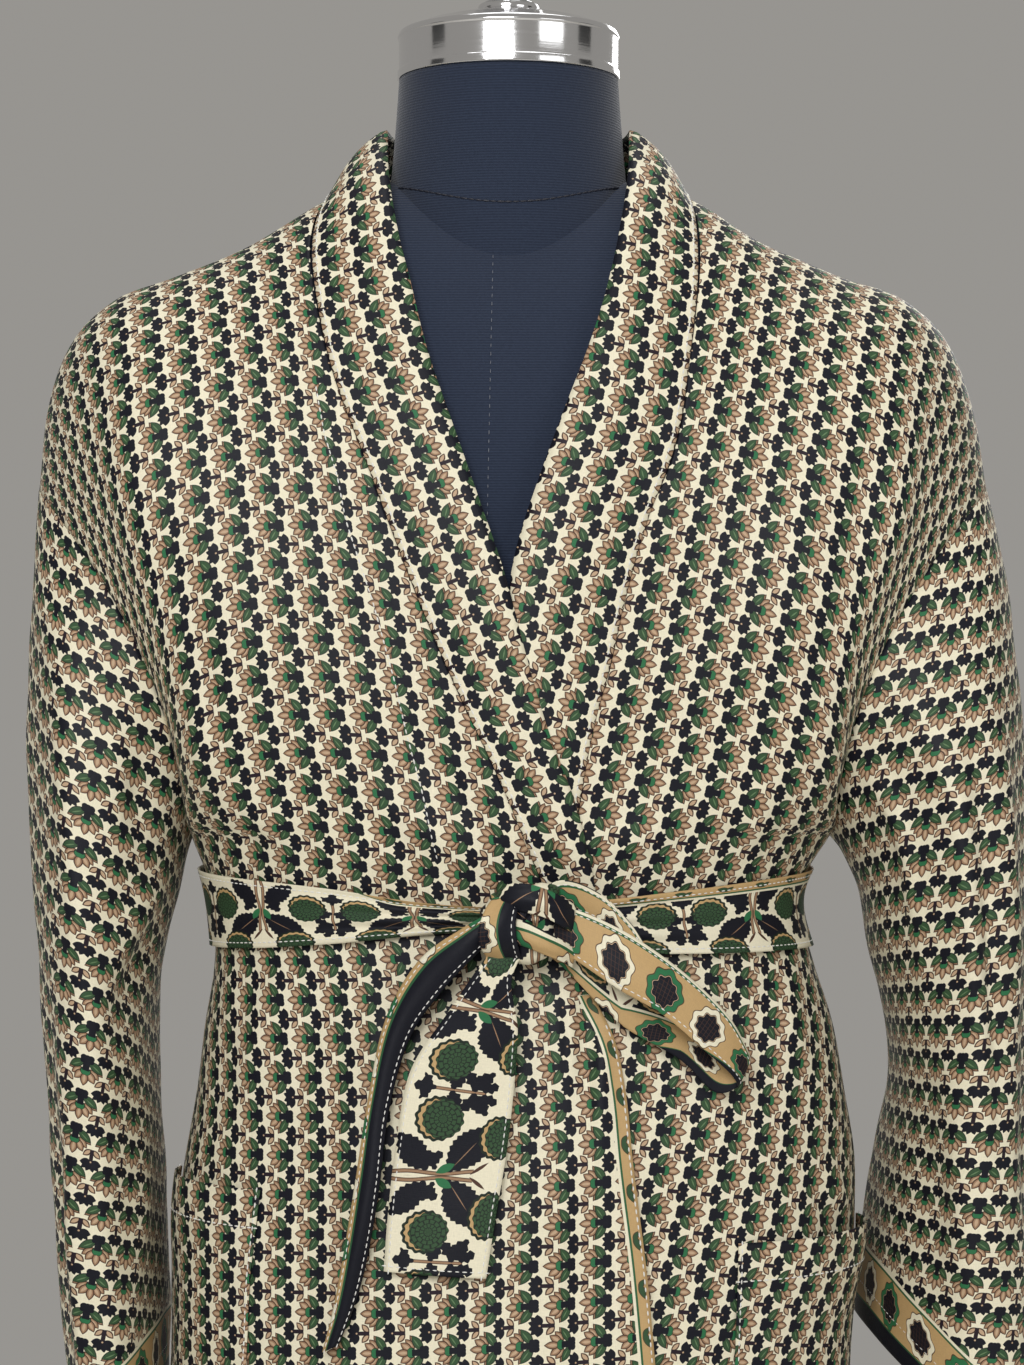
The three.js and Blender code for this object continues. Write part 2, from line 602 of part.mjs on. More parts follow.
function sideCollar(edge, rolls) {
  const neckSeam = edge.at(-1).z;
  const rows = [];
  for (const level of LEVELS) {
    const u = crossing(edge, level);
    const seam = sheetPoint(ROBE, "front", u, level);
    if (seam.z < rolls[0].z - 1) continue;
    const read = (name) => column(rolls, "z", name, seam.z);
    const roll = point(read("x"), read("y"), read("up"));
    const stand = clamp(read("stand"), 0, 1);
    if (stand === 0) roll.y = seam.y;
    const onBody = (straight, share) => {
      if (stand === 1) return straight;
      const place = locate(straight.x, Math.min(straight.z, neckSeam));
      const lying = sheetPoint(ROBE, "front", place.u, place.level);
      return lying.lerp(straight, stand * share);
    };
    rows.push(collarRow(seam, roll, stand, onBody));
  }
  return rows;
}

function napeCollar() {
  const columns = BACK_COLUMNS.filter(({ turn }) => Math.abs(turn) < 1);
  return columns.map(({ u, top, turn }) => {
    const seam = sheetPoint(ROBE, "back", u, top);
    const s = Math.sin(turn * QUARTER);
    const c = Math.cos(turn * QUARTER);
    const roll = point(NAPE.side * s, lerp(NAPE.front, NAPE.back, c), lerp(NAPE.sideUp, NAPE.up, c));
    return collarRow(seam, roll, 1);
  });
}

// Unit normals of a grid of points, pointing the way that `facing` does.
function gridNormals(grid, facing, closed = false) {
  const rows = grid.length;
  const count = grid[0].length;
  return grid.map((row, i) =>
    row.map((p, j) => {
      const before = closed ? (j + count - 1) % count : Math.max(j - 1, 0);
      const after = closed ? (j + 1) % count : Math.min(j + 1, count - 1);
      const across = row[after].clone().sub(row[before]);
      const along = grid[Math.min(i + 1, rows - 1)][j].clone().sub(grid[Math.max(i - 1, 0)][j]);
      const normal = across.cross(along).normalize();
      return normal.dot(facing(p, i, j)) < 0 ? normal.negate() : normal;
    }),
  );
}

// The way that the collar's outside faces: away from the neck, forwards and up.
const collarFacing = (p) => point(p.x, 1.5 * p.y - 1, 60);

function collarRows() {
  const over = sideCollar(OVER_EDGE, OVER_ROLL);
  const under = sideCollar(UNDER_EDGE, UNDER_ROLL).toReversed();
  const grid = [...over, ...napeCollar(), ...under];
  const normals = gridNormals(grid, collarFacing);
  return grid.map((row, i) =>
    row.map((p, j) => {
      const share = j / BAND_COLUMNS;
      const standing = smoothstep(p.z, COLLAR_RISES, COLLAR_STANDS);
      const bulge = COLLAR_BULGE * standing * Math.sin(Math.PI * share);
      const lift = i < over.length ? lapLift(p) : 0;
      return layer(p, normals[i][j], lift + bulge, BAND);
    }),
  );
}

// The armhole's rim, from the underarm up the front edge and down the back one.
function armholeRim(side) {
  const rim = SHOULDER_LEVELS.map((level) => panelPoint("front", side, level));
  for (const level of SHOULDER_LEVELS.slice(1, -1).toReversed()) {
    rim.push(panelPoint("back", side, level));
  }
  return rim;
}

function rimAngle(side, p) {
  const bottom = sheetPoint(ROBE, "front", side, 0).z;
  const top = sheetPoint(ROBE, "front", side, 1).z;
  const turn = Math.acos(clamp(1 - (2 * (p.z - bottom)) / (top - bottom), -1, 1));
  return p.y <= 0 ? turn : 2 * Math.PI - turn;
}

// A point of a sleeve section, with the turn counted from the inner edge by the front.
function sectionPoint(side, section, turn) {
  const inwards = Math.cos(turn);
  const end = inwards > 0 ? "i" : "o";
  const face = Math.sin(turn) > 0 ? "f" : "b";
  const x = lerp(section["x" + face], section["x" + end], Math.abs(inwards));
  const y = lerp(section["y" + end], section["y" + face], Math.abs(Math.sin(turn)));
  const share = (x - section.xi) / (section.xo - section.xi);
  return point(side * x, y, lerp(section.zi, section.zo, share));
}

function sleeveRows(side, sections) {
  const rim = armholeRim(side);
  const turns = rim.map(({ inner }) => rimAngle(side, inner));
  const away = point(SLEEVE_AWAY.out * side, 0, SLEEVE_AWAY.up).multiplyScalar(SLEEVE_SEAM);
  const grid = [
    rim.map(({ inner }) => inner.clone().add(away)),
    ...sections.map((section) => turns.map((turn) => sectionPoint(side, section, turn))),
  ];
  const middles = grid.map((row) =>
    row.reduce((sum, p) => sum.add(p), point(0, 0, 0)).divideScalar(row.length),
  );
  const normals = gridNormals(grid, (p, i) => p.clone().sub(middles[i]), true);
  return grid.map((row, i) =>
    row.map((p, j) => {
      if (i === 0) return { inner: p, outer: rim[j].outer.clone().add(away) };
      return layer(p, normals[i][j], 0, CLOTH);
    }),
  );
}

function beltRows() {
  const rows = [];
  const first = BELT_ROWS[0].around;
  const last = BELT_ROWS.at(-1).around;
  for (let i = 0; i <= BELT_STEPS; i++) {
    const around = lerp(first, last, i / BELT_STEPS);
    const read = (name) => column(BELT_ROWS, "around", name, around);
    const row = [];
    for (let j = 0; j <= 2; j++) {
      const p = ringPoint(ROBE, lerp(read("bottom"), read("top"), j / 2), around);
      const normal = point(p.x, p.y * WAIST_FLATNESS, 0).normalize();
      row.push(layer(p, normal, read("out"), BELT));
    }
    rows.push(row);
  }
  return rows;
}

// A loose length of belt, with its points found by their x and z in front of the robe.
function lengthGeometry(table, steps, thickness) {
  const rows = table.map((row, at) => ({ ...row, at }));
  const grid = [];
  for (let i = 0; i <= steps; i++) {
    const at = ((rows.length - 1) * i) / steps;
    const read = (name) => column(rows, "at", name, at);
    const row = [];
    for (let j = 0; j <= 3; j++) {
      const x = lerp(read("ax"), read("bx"), j / 3);
      const z = lerp(read("az"), read("bz"), j / 3);
      const { u, level } = locate(x, z);
      const p = sheetPoint(ROBE, "front", u, level);
      row.push(point(x, p.y - read("out"), z));
    }
    grid.push(row);
  }
  const normals = sameSide(gridNormals(grid, () => point(0, -1, 0)));
  return wallGeometry(grid.map((row, i) => row.map((p, j) => layer(p, normals[i][j], 0, thickness))));
}

// Normals that keep to one side of a length that turns back on itself.
function sameSide(normals) {
  return normals.map((row, i) => {
    if (i > 0 && row[1].dot(normals[i - 1][1]) < 0) row.forEach((normal) => normal.negate());
    return row;
  });
}

// The knot: a rounded block that is flatter towards the robe.
function knotGeometry(grow) {
  const { x, z, out, half, roundness, flatBack, lobes } = KNOT;
  const { u, level } = locate(x, z);
  const middle = sheetPoint(ROBE, "front", u, level).y - out;
  const geometry = new THREE.SphereGeometry(1, 22, 14);
  const positions = geometry.getAttribute("position");
  const round = (value) => Math.sign(value) * Math.abs(value) ** roundness;
  for (let i = 0; i < positions.count; i++) {
    const p = new THREE.Vector3().fromBufferAttribute(positions, i);
    const turn = Math.atan2(p.z, p.x);
    const lobe = 1 - lobes.size * Math.cos(lobes.count * turn + lobes.turn);
    positions.setXYZ(
      i,
      x + round(p.x) * (half.x * lobe + grow),
      middle + round(p.y) * (half.y + grow) * (p.y > 0 ? flatBack : 1),
      z + round(p.z) * (half.z * lobe + grow),
    );
  }
  return geometry;
}

// Closed geometry to a manifold solid and back.
function toSolid(geometry) {
  const bare = geometry.clone();
  bare.deleteAttribute("normal");
  bare.deleteAttribute("uv");
  const merged = mergeVertices(bare, 1e-4);
  return new wasm.Manifold(
    new wasm.Mesh({
      numProp: 3,
      vertProperties: merged.getAttribute("position").array,
      triVerts: new Uint32Array(merged.index.array),
    }),
  );
}
function toGeometry(solid) {
  const { vertProperties, triVerts } = solid.getMesh();
  const geometry = new THREE.BufferGeometry();
  geometry.setAttribute("position", new THREE.BufferAttribute(vertProperties, 3));
  geometry.setIndex(new THREE.BufferAttribute(triVerts, 1));
  return geometry;
}

// A pocket on its front, with its mouth standing a little open.
function pocketRows({ inner, side, top }) {
  const high = top - UNDERARM;
  const low = high - POCKET_DEPTH;
  const between = SKIRT_LEVELS.filter((level) => level > low + ROW_APART && level < high - ROW_APART);
  return [low, ...between, high].map((level) => {
    const row = [];
    for (let j = 0; j <= POCKET_COLUMNS; j++) {
      const share = j / POCKET_COLUMNS;
      const gape = level === high ? POCKET_GAPE * Math.sin(Math.PI * share) : 0;
      row.push(panelPoint("front", lerp(side, inner, share), level, CLOTH + LYING + gape, CLOTH));
    }
    return row;
  });
}

// The form's body: its front and back sheets meet along the ridge, with arm plates between them.
function torsoGeometry() {
  const columns = [];
  for (let j = 0; j <= FORM_COLUMNS; j++) {
    const share = j / FORM_COLUMNS;
    columns.push(share - 0.5 - Math.cos(Math.PI * share) / 2);
  }
  const levels = [
    ...FORM_HEIGHTS.map((z) => z - UNDERARM),
    ...SHOULDER_LEVELS.slice(0, -1),
    FORM_LAST,
  ];
  const rings = levels.map((level) => {
    const front = columns.map((u) => sheetPoint(FORM, "front", u, level));
    const back = columns.map((u) => sheetPoint(FORM, "back", -u, level));
    const plate = (from, to, side) =>
      [1 / 3, 2 / 3].map((share) => {
        const p = from.clone().lerp(to, share);
        p.x += side * from.distanceTo(to) * PLATE_BULGE;
        return p;
      });
    return [
      ...front,
      ...plate(front.at(-1), back[0], 1),
      ...back,
      ...plate(back.at(-1), front[0], -1),
    ];
  });
  const ridge = columns.map((u) => sheetPoint(FORM, "front", u, 1));
  const left = ridge.at(-1);
  const right = ridge[0];
  rings.push([...ridge, left, left, ...ridge.toReversed(), right, right]);
  return loftGeometry(rings, false);
}

// A closed body through rings of points. Faces that shrink to a line are left out.
function loftGeometry(rings, capTop = true) {
  const count = rings[0].length;
  const positions = rings.flat().flatMap((p) => [...p]);
  const faces = [];
  const last = rings.length - 1;
  const add = (a, b, c) => {
    const [p, q, r] = [a, b, c].map((k) => new THREE.Vector3().fromArray(positions, 3 * k));
    if (q.sub(p).cross(r.sub(p)).length() > 1e-3) faces.push(a, b, c);
  };
  for (let i = 0; i < last; i++) {
    for (let j = 0; j < count; j++) {
      const k = (j + 1) % count;
      add(i * count + j, i * count + k, (i + 1) * count + k);
      add(i * count + j, (i + 1) * count + k, (i + 1) * count + j);
    }
  }
  const cap = (i, turned) => {
    const middle = rings[i].reduce((sum, p) => sum.add(p), point(0, 0, 0)).divideScalar(count);
    positions.push(...middle);
    const hub = positions.length / 3 - 1;
    for (let j = 0; j < count; j++) {
      const k = (j + 1) % count;
      if (turned) add(hub, i * count + j, i * count + k);
      else add(hub, i * count + k, i * count + j);
    }
  };
  cap(0, false);
  if (capTop) cap(last, true);
  return outwards(positions, faces);
}

function neckGeometry() {
  const rings = NECK_HEIGHTS.map((z) => {
    const ring = [];
    for (let j = 0; j < NECK_SEGMENTS; j++) {
      const turn = (2 * Math.PI * j) / NECK_SEGMENTS;
      const radius = column(NECK, "z", "radius", z);
      const deep = column(NECK, "z", "deep", z);
      ring.push(point(radius * Math.cos(turn), deep * Math.sin(turn), z));
    }
    return ring;
  });
  return loftGeometry(rings);
}

// A turned piece, from its profile of [radius, z] pairs, standing along +Z.
function turned(profile, segments) {
  const points = profile.map(([radius, z]) => new THREE.Vector2(radius, z));
  return new THREE.LatheGeometry(points, segments).rotateX(QUARTER);
}

const CAP_BOTTOM = NECK_TOP + SEAM;
const CAP_TOP = CAP_BOTTOM + CAP_HEIGHT;
const capProfile = [
  [0, CAP_BOTTOM],
  [CAP_RADIUS - 1.5, CAP_BOTTOM],
  [CAP_RADIUS, CAP_BOTTOM + 1.5],
  [CAP_RADIUS, CAP_TOP - 3],
  [CAP_RADIUS - 1, CAP_TOP - 1],
  [CAP_RADIUS - 4, CAP_TOP],
  [50, CAP_TOP + 4],
  [34, CAP_TOP + 8],
  [0, CAP_TOP + 10],
];
const KNOB_BOTTOM = CAP_TOP + 10 + SEAM;
const knobProfile = [
  [0, KNOB_BOTTOM],
  [18, KNOB_BOTTOM],
  [18, KNOB_BOTTOM + 5],
  [12, KNOB_BOTTOM + 8],
  [12, KNOB_BOTTOM + 12],
  [21, KNOB_BOTTOM + 18],
  [KNOB_RADIUS, KNOB_BOTTOM + 26],
  [21, KNOB_BOTTOM + 35],
  [12, KNOB_BOTTOM + 41],
  [0, KNOB_BOTTOM + 43],
];
const baseProfile = [
  [0, 0],
  [BASE_RADIUS - 2, 0],
  [BASE_RADIUS, 2],
  [BASE_RADIUS, 9],
  [BASE_RADIUS - 3, 12],
  [60, 20],
  [32, 26],
  [26, 34],
  [26, HUB_TOP - 2],
  [24, HUB_TOP],
  [0, HUB_TOP],
];
const poleProfile = [
  [0, HUB_TOP + SEAM],
  [POLE_RADIUS, HUB_TOP + SEAM],
  [POLE_RADIUS, FORM_BOTTOM - SEAM],
  [0, FORM_BOTTOM - SEAM],
];

const cloth = new THREE.MeshStandardMaterial({ color: 0xb9ac8d, roughness: 0.55 });
const border = new THREE.MeshStandardMaterial({ color: 0xc9ba93, roughness: 0.55 });
const jersey = new THREE.MeshStandardMaterial({ color: 0x1d2330, roughness: 0.9 });
const steel = new THREE.MeshStandardMaterial({ color: 0xc8c8c8, roughness: 0.2, metalness: 1 });
const iron = new THREE.MeshStandardMaterial({ color: 0x2b2b2d, roughness: 0.6 });

const robe = new THREE.Group();
const part = new THREE.Group();
part.add(robe);
function add(group, name, geometry, material) {
  const mesh = new THREE.Mesh(geometry, material);
  mesh.name = name;
  group.add(mesh);
}

add(robe, "back", wallGeometry(backRows()), cloth);
add(robe, "front_right", wallGeometry(frontRows(-1, OVER_EDGE, true)), cloth);
add(robe, "front_left", wallGeometry(frontRows(1, UNDER_EDGE, false)), cloth);
add(robe, "collar", wallGeometry(collarRows()), cloth);
add(robe, "sleeve_right", wallGeometry(sleeveRows(-1, RIGHT_SLEEVE), true), cloth);
add(robe, "sleeve_left", wallGeometry(sleeveRows(1, LEFT_SLEEVE), true), cloth);
add(robe, "pocket_right", wallGeometry(pocketRows(RIGHT_POCKET)), cloth);
add(robe, "pocket_left", wallGeometry(pocketRows(LEFT_POCKET)), cloth);

add(robe, "belt_waist", wallGeometry(beltRows()), border);
add(robe, "belt_knot", knotGeometry(0), border);
const nearKnot = toSolid(knotGeometry(NEAR_KNOT));
const lengths = [
  { name: "belt_loop", table: LOOP, steps: 26 },
  { name: "belt_loop_back", table: BACK_BAND, steps: 8 },
  { name: "belt_tail_wide", table: WIDE_TAIL, steps: 12 },
  { name: "belt_tail_narrow", table: NARROW_TAIL, steps: 14 },
];
for (const { name, table, steps } of lengths) {
  const whole = toSolid(lengthGeometry(table, steps, BELT));
  add(robe, name, toGeometry(whole.subtract(nearKnot)), border);
}

const formBody = toSolid(torsoGeometry()).add(toSolid(neckGeometry()));
add(part, "form_body", toGeometry(formBody), jersey);
add(part, "neck_cap", turned(capProfile, 40), steel);
add(part, "cap_knob", turned(knobProfile, 24), steel);
add(part, "stand_pole", turned(poleProfile, 24), steel);
add(part, "stand_base", turned(baseProfile, 44), iron);

export default part;
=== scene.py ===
# %% [markdown]
# # A printed kimono robe on a dress form
# The robe is thin printed cloth, worn loose and tied with its own belt. The frame from the packed
# model holds every piece at its real size. This lesson puts a fine shell of cloth on each of those
# plain walls, prints it, stitches it and lights it.

# %% Open the frame
import math

import bpy
import numpy as np
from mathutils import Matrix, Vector

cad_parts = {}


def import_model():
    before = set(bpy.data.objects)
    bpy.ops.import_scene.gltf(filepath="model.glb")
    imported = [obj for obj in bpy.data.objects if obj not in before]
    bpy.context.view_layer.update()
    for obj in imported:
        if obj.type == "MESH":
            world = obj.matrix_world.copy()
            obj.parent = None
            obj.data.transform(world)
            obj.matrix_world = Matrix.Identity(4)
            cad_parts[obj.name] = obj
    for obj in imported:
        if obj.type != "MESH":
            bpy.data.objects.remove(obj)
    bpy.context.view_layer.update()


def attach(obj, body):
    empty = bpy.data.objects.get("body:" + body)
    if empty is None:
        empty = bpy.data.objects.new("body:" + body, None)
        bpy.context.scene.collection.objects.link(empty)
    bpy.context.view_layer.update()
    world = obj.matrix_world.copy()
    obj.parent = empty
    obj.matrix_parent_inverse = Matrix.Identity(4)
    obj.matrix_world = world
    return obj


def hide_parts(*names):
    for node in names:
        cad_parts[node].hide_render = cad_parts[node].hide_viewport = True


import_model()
MM = 0.001

# %% [markdown]
# ## Camera, floor and light
# A garment is shown at chest height with a long lens, so that its lines stay straight. Light comes
# from large soft panels, as in a studio, because small lamps would draw hard shadows in every fold.
# Two dark cards stand out of view on the sides: polished steel only looks like steel where it has
# something dark to mirror.

# %% Camera
scene = bpy.context.scene


def place(name, data, location, aim):
    item = bpy.data.objects.new(name, data)
    item.location = location
    turn = (Vector(aim) - Vector(location)).to_track_quat("-Z", "Y")
    item.rotation_euler = turn.to_euler()
    scene.collection.objects.link(item)
    return item


EYE_HEIGHT = 1.169
camera_data = bpy.data.cameras.new("camera")
camera_data.lens = 88.6
camera = place("camera", camera_data, (0.002, -1.95, EYE_HEIGHT), (0.002, 0, EYE_HEIGHT))
scene.camera = camera
scene.view_settings.view_transform = "Standard"
print("camera lens", camera_data.lens)

# %% Light panels
PANELS = {
    "window panel": {"size": 1.5, "power": 59, "spot": (-0.5, -2.85, 2.35)},
    "fill panel": {"size": 1.4, "power": 11, "spot": (2.2, -2.2, 1.5)},
    "top panel": {"size": 1.2, "power": 12, "spot": (0.1, 0.2, 3.1)},
    "back panel": {"size": 1.2, "power": 17, "spot": (1.2, 2.4, 2.2)},
}
MIDDLE = (0, 0, 1.1)
for name, panel in PANELS.items():
    light = bpy.data.lights.new(name, "AREA")
    light.size = panel["size"]
    light.energy = panel["power"]
    place(name, light, panel["spot"], MIDDLE)
world = bpy.data.worlds.new("pale room")
world.use_nodes = True
world.node_tree.nodes["Background"].inputs["Color"].default_value = (0.86, 0.83, 0.78, 1)
world.node_tree.nodes["Background"].inputs["Strength"].default_value = 0.36
scene.world = world
print(len(PANELS), "light panels")

# %% [markdown]
# ## Numbers to surfaces
# Cloth that hangs on a body follows rings round that body. A short table holds the rings, and a
# smooth curve through each of its columns gives every size in between. The alternative, a drawn
# profile, would hide the sizes in a list of points.

# %% Read tables
QUARTER = math.pi / 2


def columns(names, *rows):
    """A table: each name with its column of numbers."""
    return dict(zip(names.split(), np.array(rows, float).T))


def curve(table, by, name, at):
    """One column of a table at places along it, on a smooth curve through the rows."""
    x, y = table[by], table[name]
    run = np.diff(x)
    chord = np.diff(y) / run
    middle = (chord[:-1] * run[1:] + chord[1:] * run[:-1]) / (run[1:] + run[:-1])
    slope = np.concatenate([chord[:1], middle, chord[-1:]])
    spot = np.clip(at, x[0], x[-1])
    k = np.clip(np.searchsorted(x, spot, "right") - 1, 0, len(x) - 2)
    h = run[k]
    t = (spot - x[k]) / h
    s = 1 - t
    ends = (1 + 2 * t) * s * s * y[k] + t * t * (3 - 2 * t) * y[k + 1]
    return ends + t * s * s * h * slope[k] - t * t * s * h * slope[k + 1]


def smooth(value, low, high):
    """0 below low, 1 above high and an even S between them."""
    share = np.clip((value - low) / (high - low), 0, 1)
    return share * share * (3 - 2 * share)


def lerp(a, b, share):
    return a + (b - a) * share


def unit(vectors):
    return vectors / np.maximum(np.linalg.norm(vectors, axis=-1, keepdims=True), 1e-9)


# %% Sizes of the robe's inner face, in millimetres
HEM, UNDERARM = 230, 1083
SEAM, LYING, BAND = 0.3, 0.8, 2.0
ROBE_RINGS = columns(
    "z mid half front back power",
    (230, 2, 224, 152, 144, 2.2),
    (400, 2, 215, 147, 139, 2.2),
    (600, 2, 204, 141, 133, 2.25),
    (773, 1, 194, 134, 127, 2.3),
    (850, 4, 195, 130, 124, 2.35),
    (890, 6, 193, 128, 122, 2.35),
    (930, 7, 187, 125, 119, 2.35),
    (970, 6, 181, 120, 115, 2.35),
    (1010, 3, 172, 114, 110, 2.35),
    (1045, -2, 168, 111, 108, 2.35),
    (1083, 1, 184, 120, 113, 2.35),
)
ROBE_RIDGE = columns(
    "at right left z",
    (0, 0, 0, 1462),
    (0.3, 76, 76, 1458),
    (0.42, 107, 107, 1446),
    (0.55, 150, 150, 1421),
    (0.68, 195, 195, 1402),
    (0.78, 229, 229, 1389),
    (0.86, 251, 251, 1367),
    (0.93, 265, 267, 1331),
    (1, 271, 276, 1281),
)
ROBE = {"rings": ROBE_RINGS, "ridge": ROBE_RIDGE, "gape": 74, "drift": 2.1}
SWELL = {"front": 0.05, "back": 0.03}
SQUARE_SIDE, SQUARE_BACK = 2.3, 3.2
NECK_AT, NECK_DIP = 0.41, 0.4
FOLDS = columns(
    "around half rise top",
    (-0.83, 0.1, 9, 760),
    (-0.56, 0.13, 13, 880),
    (-0.27, 0.11, 9, 800),
    (0.06, 0.1, 12, 950),
    (0.42, 0.12, 12, 860),
    (0.72, 0.11, 10, 800),
    (1.2, 0.12, 12, 900),
    (1.48, 0.1, 9, 960),
    (1.78, 0.14, 14, 930),
    (2.12, 0.11, 10, 980),
    (2.42, 0.13, 13, 900),
    (2.72, 0.1, 9, 860),
)
FOLD_GROWTH = 420
print(len(FOLDS["around"]), "hanging folds in the skirt")

# %% Points of the robe's surface


def fold_height(around, z):
    height = np.zeros(np.shape(z))
    for spot, half, rise, top in zip(*FOLDS.values()):
        off = np.clip(((around - spot + 2) % 4 - 2) / half, -1, 1)
        height = height + rise * smooth(top - z, 0, FOLD_GROWTH) * np.cos(off * QUARTER) ** 2
    return height


def ring_point(body, z, around):
    """Points round a body at height z. around counts quarter turns from the front."""
    z, around = np.broadcast_arrays(np.asarray(z, float), np.asarray(around, float))
    s, c = np.sin(around * QUARTER), np.cos(around * QUARTER)
    rings = body["rings"]
    depth = np.where(c > 0, curve(rings, "z", "front", z), curve(rings, "z", "back", z))
    power = curve(rings, "z", "power", z)
    corner = abs(s / curve(rings, "z", "half", z)) ** power + abs(c / depth) ** power
    reach = corner ** (-1 / power)
    if body is ROBE:
        reach = reach + fold_height(around, z)
    return np.stack([curve(rings, "z", "mid", z) + reach * s, -reach * c, z], -1)


def sheet_point(body, face, u, level):
    """Points of a body's front or back. u runs from -1 at the right side to 1 at the left one;
    level is millimetres below the underarm, or the share of the way up to the shoulder ridge."""
    u, level = np.broadcast_arrays(np.asarray(u, float), np.asarray(level, float))
    around = u if face == "front" else np.where(u < 0, -2.0, 2.0) - u
    foot = ring_point(body, UNDERARM + np.minimum(level, 0), around)
    out = abs(u)
    ridge = body["ridge"]
    right, left = (curve(ridge, "at", side, out) for side in ("right", "left"))
    ridge_x = np.where(u < 0, -right, left)
    power = SQUARE_SIDE if face == "front" else lerp(SQUARE_BACK, SQUARE_SIDE, smooth(out, 0, 0.6))
    turn = np.clip(level, 0, 1) * QUARTER
    s, c = np.sin(turn), np.cos(turn)
    reach = (s**power + np.maximum(c, 0) ** power) ** (-1 / power)
    rise = np.clip(reach * s, 0, 1)
    swell = 1 + SWELL[face] * np.sin(math.pi * rise)
    gape = 2 * body["gape"] * np.sqrt(rise * (1 - rise)) * abs(np.sin(u * QUARTER)) ** 6
    side = -1 if face == "front" else 1
    x = lerp(foot[..., 0], ridge_x, rise ** body["drift"])
    y = foot[..., 1] * reach * c * swell + side * gape
    return np.stack([x, y, lerp(foot[..., 2], curve(ridge, "at", "z", out), rise)], -1)


def sheet_normal(body, face, u, level):
    du = 1e-3
    dl = np.where(np.asarray(level) <= 0, -0.5, -1e-3)
    wide = sheet_point(body, face, np.minimum(u + du, 1), level)
    wide = wide - sheet_point(body, face, np.maximum(u - du, -1), level)
    high = sheet_point(body, face, u, level) - sheet_point(body, face, u, level + dl)
    normal = unit(np.cross(wide, high))
    return normal if face == "front" else -normal


def halve(low, high, times, is_before):
    """Where is_before turns false between low and high, found by halving the stretch."""
    for _ in range(times):
        middle = (low + high) / 2
        before = is_before(middle)
        low, high = np.where(before, middle, low), np.where(before, high, middle)
    return (low + high) / 2


def crossing(line, level):
    """The u at which rows of the front cross a line given by its x at each height."""

    def before(u):
        p = sheet_point(ROBE, "front", u, level)
        return p[..., 0] < curve(line, "z", "x", p[..., 2])

    return halve(np.full(np.shape(level), -1.0), np.ones(np.shape(level)), 40, before)


def locate(x, z, body=ROBE):
    """The place (u, level) on a body's front that shows at x and z from the front."""
    x, z = np.broadcast_arrays(np.asarray(x, float), np.asarray(z, float))
    u = np.clip(x / 200, -1, 1)
    zero, one = np.zeros(x.shape), np.ones(x.shape)
    for _ in range(7):
        up = halve(zero, one, 14, lambda up: sheet_point(body, "front", u, up)[..., 2] < z)
        level = np.where(z > UNDERARM, up, z - UNDERARM)
        u = halve(-one, one, 13, lambda u: sheet_point(body, "front", u, level)[..., 0] < x)
    return u, level


def front_y(x, z, body=ROBE):
    """y of a body's front face at x and z."""
    return sheet_point(body, "front", *locate(x, z, body))[..., 1]


print("chest front at", sheet_point(ROBE, "front", 0, 0.3).round(1))

# %% [markdown]
# ## Where the fronts end
# A shawl collar runs in one band up the right front, round the neck and down the left front. The
# seam line and the rolled free edge are tables of places, because a collar's line is drawn by eye
# when the pattern is cut.

# %% Edges of the fronts and the collar
OVER_EDGE = columns(
    "z x",
    (230, 104), (500, 94), (800, 78), (858, 73), (908, 67), (948, 63), (975, 57), (995, 47.5),
    (1015, 38), (1045, 25), (1070, 14), (1096, 3.5), (1126, -9.5), (1158, -25), (1205, -45.5),
    (1263, -68), (1290, -78), (1320, -90), (1343, -98), (1366, -104), (1390, -109),
    (1413, -112), (1430, -110.5), (1447, -104.4),
)
UNDER_EDGE = columns(
    "z x",
    (230, -100), (500, -92), (800, -76), (858, -70), (948, -57), (975, -50), (992, -40),
    (1005, -24), (1030, 0), (1060, 22), (1092, 37), (1115, 41), (1146, 47), (1177, 55.5),
    (1215, 64), (1269, 80.5), (1284, 87), (1311, 95), (1345, 100), (1370, 104), (1412, 108),
    (1430, 107.5), (1447, 104.4),
)
OVER_ROLL = columns(
    "z x y up stand",
    (995, 51, 0, 996, 0),
    (1015, 50, 0, 1021, 0),
    (1045, 48, 0, 1052, 0),
    (1070, 43.5, 0, 1076, 0),
    (1096, 35.5, 0, 1107, 0),
    (1126, 23.5, 0, 1137, 0),
    (1168, 9, 0, 1186, 0),
    (1209, -1.5, 0, 1227, 0),
    (1250, -15.5, 0, 1268, 0),
    (1291, -29, 0, 1307, 0),
    (1338, -44.5, -95, 1352, 0),
    (1385, -55, -82, 1395, 0.35),
    (1413, -63, -64, 1428, 0.8),
    (1430, -68, -37, 1459, 1),
    (1447, -70, 6, 1490, 1),
)
UNDER_ROLL = columns(
    "z x y up stand",
    (992, -43, 0, 994, 0),
    (1005, -34, 0, 1010, 0),
    (1030, -22, 0, 1037, 0),
    (1060, -12, 0, 1069, 0),
    (1092, -6, 0, 1104, 0),
    (1115, -5, 0, 1130, 0),
    (1146, -4, 0, 1163, 0),
    (1177, -1.5, 0, 1196, 0),
    (1215, 2, 0, 1233, 0),
    (1269, 18.5, 0, 1286, 0),
    (1311, 34, 0, 1328, 0),
    (1345, 45, -93, 1357, 0),
    (1385, 56, -82, 1394, 0.35),
    (1412, 63, -64, 1427, 0.8),
    (1430, 68, -37, 1459, 1),
    (1447, 70, 6, 1490, 1),
)
NAPE_BACK, NAPE_UP, NAPE_SIDE, NAPE_FRONT, NAPE_HIGH = 86, 1486, 70, 6, 1490
STAND_GAP, COLLAR_BULGE = 1.7, 3
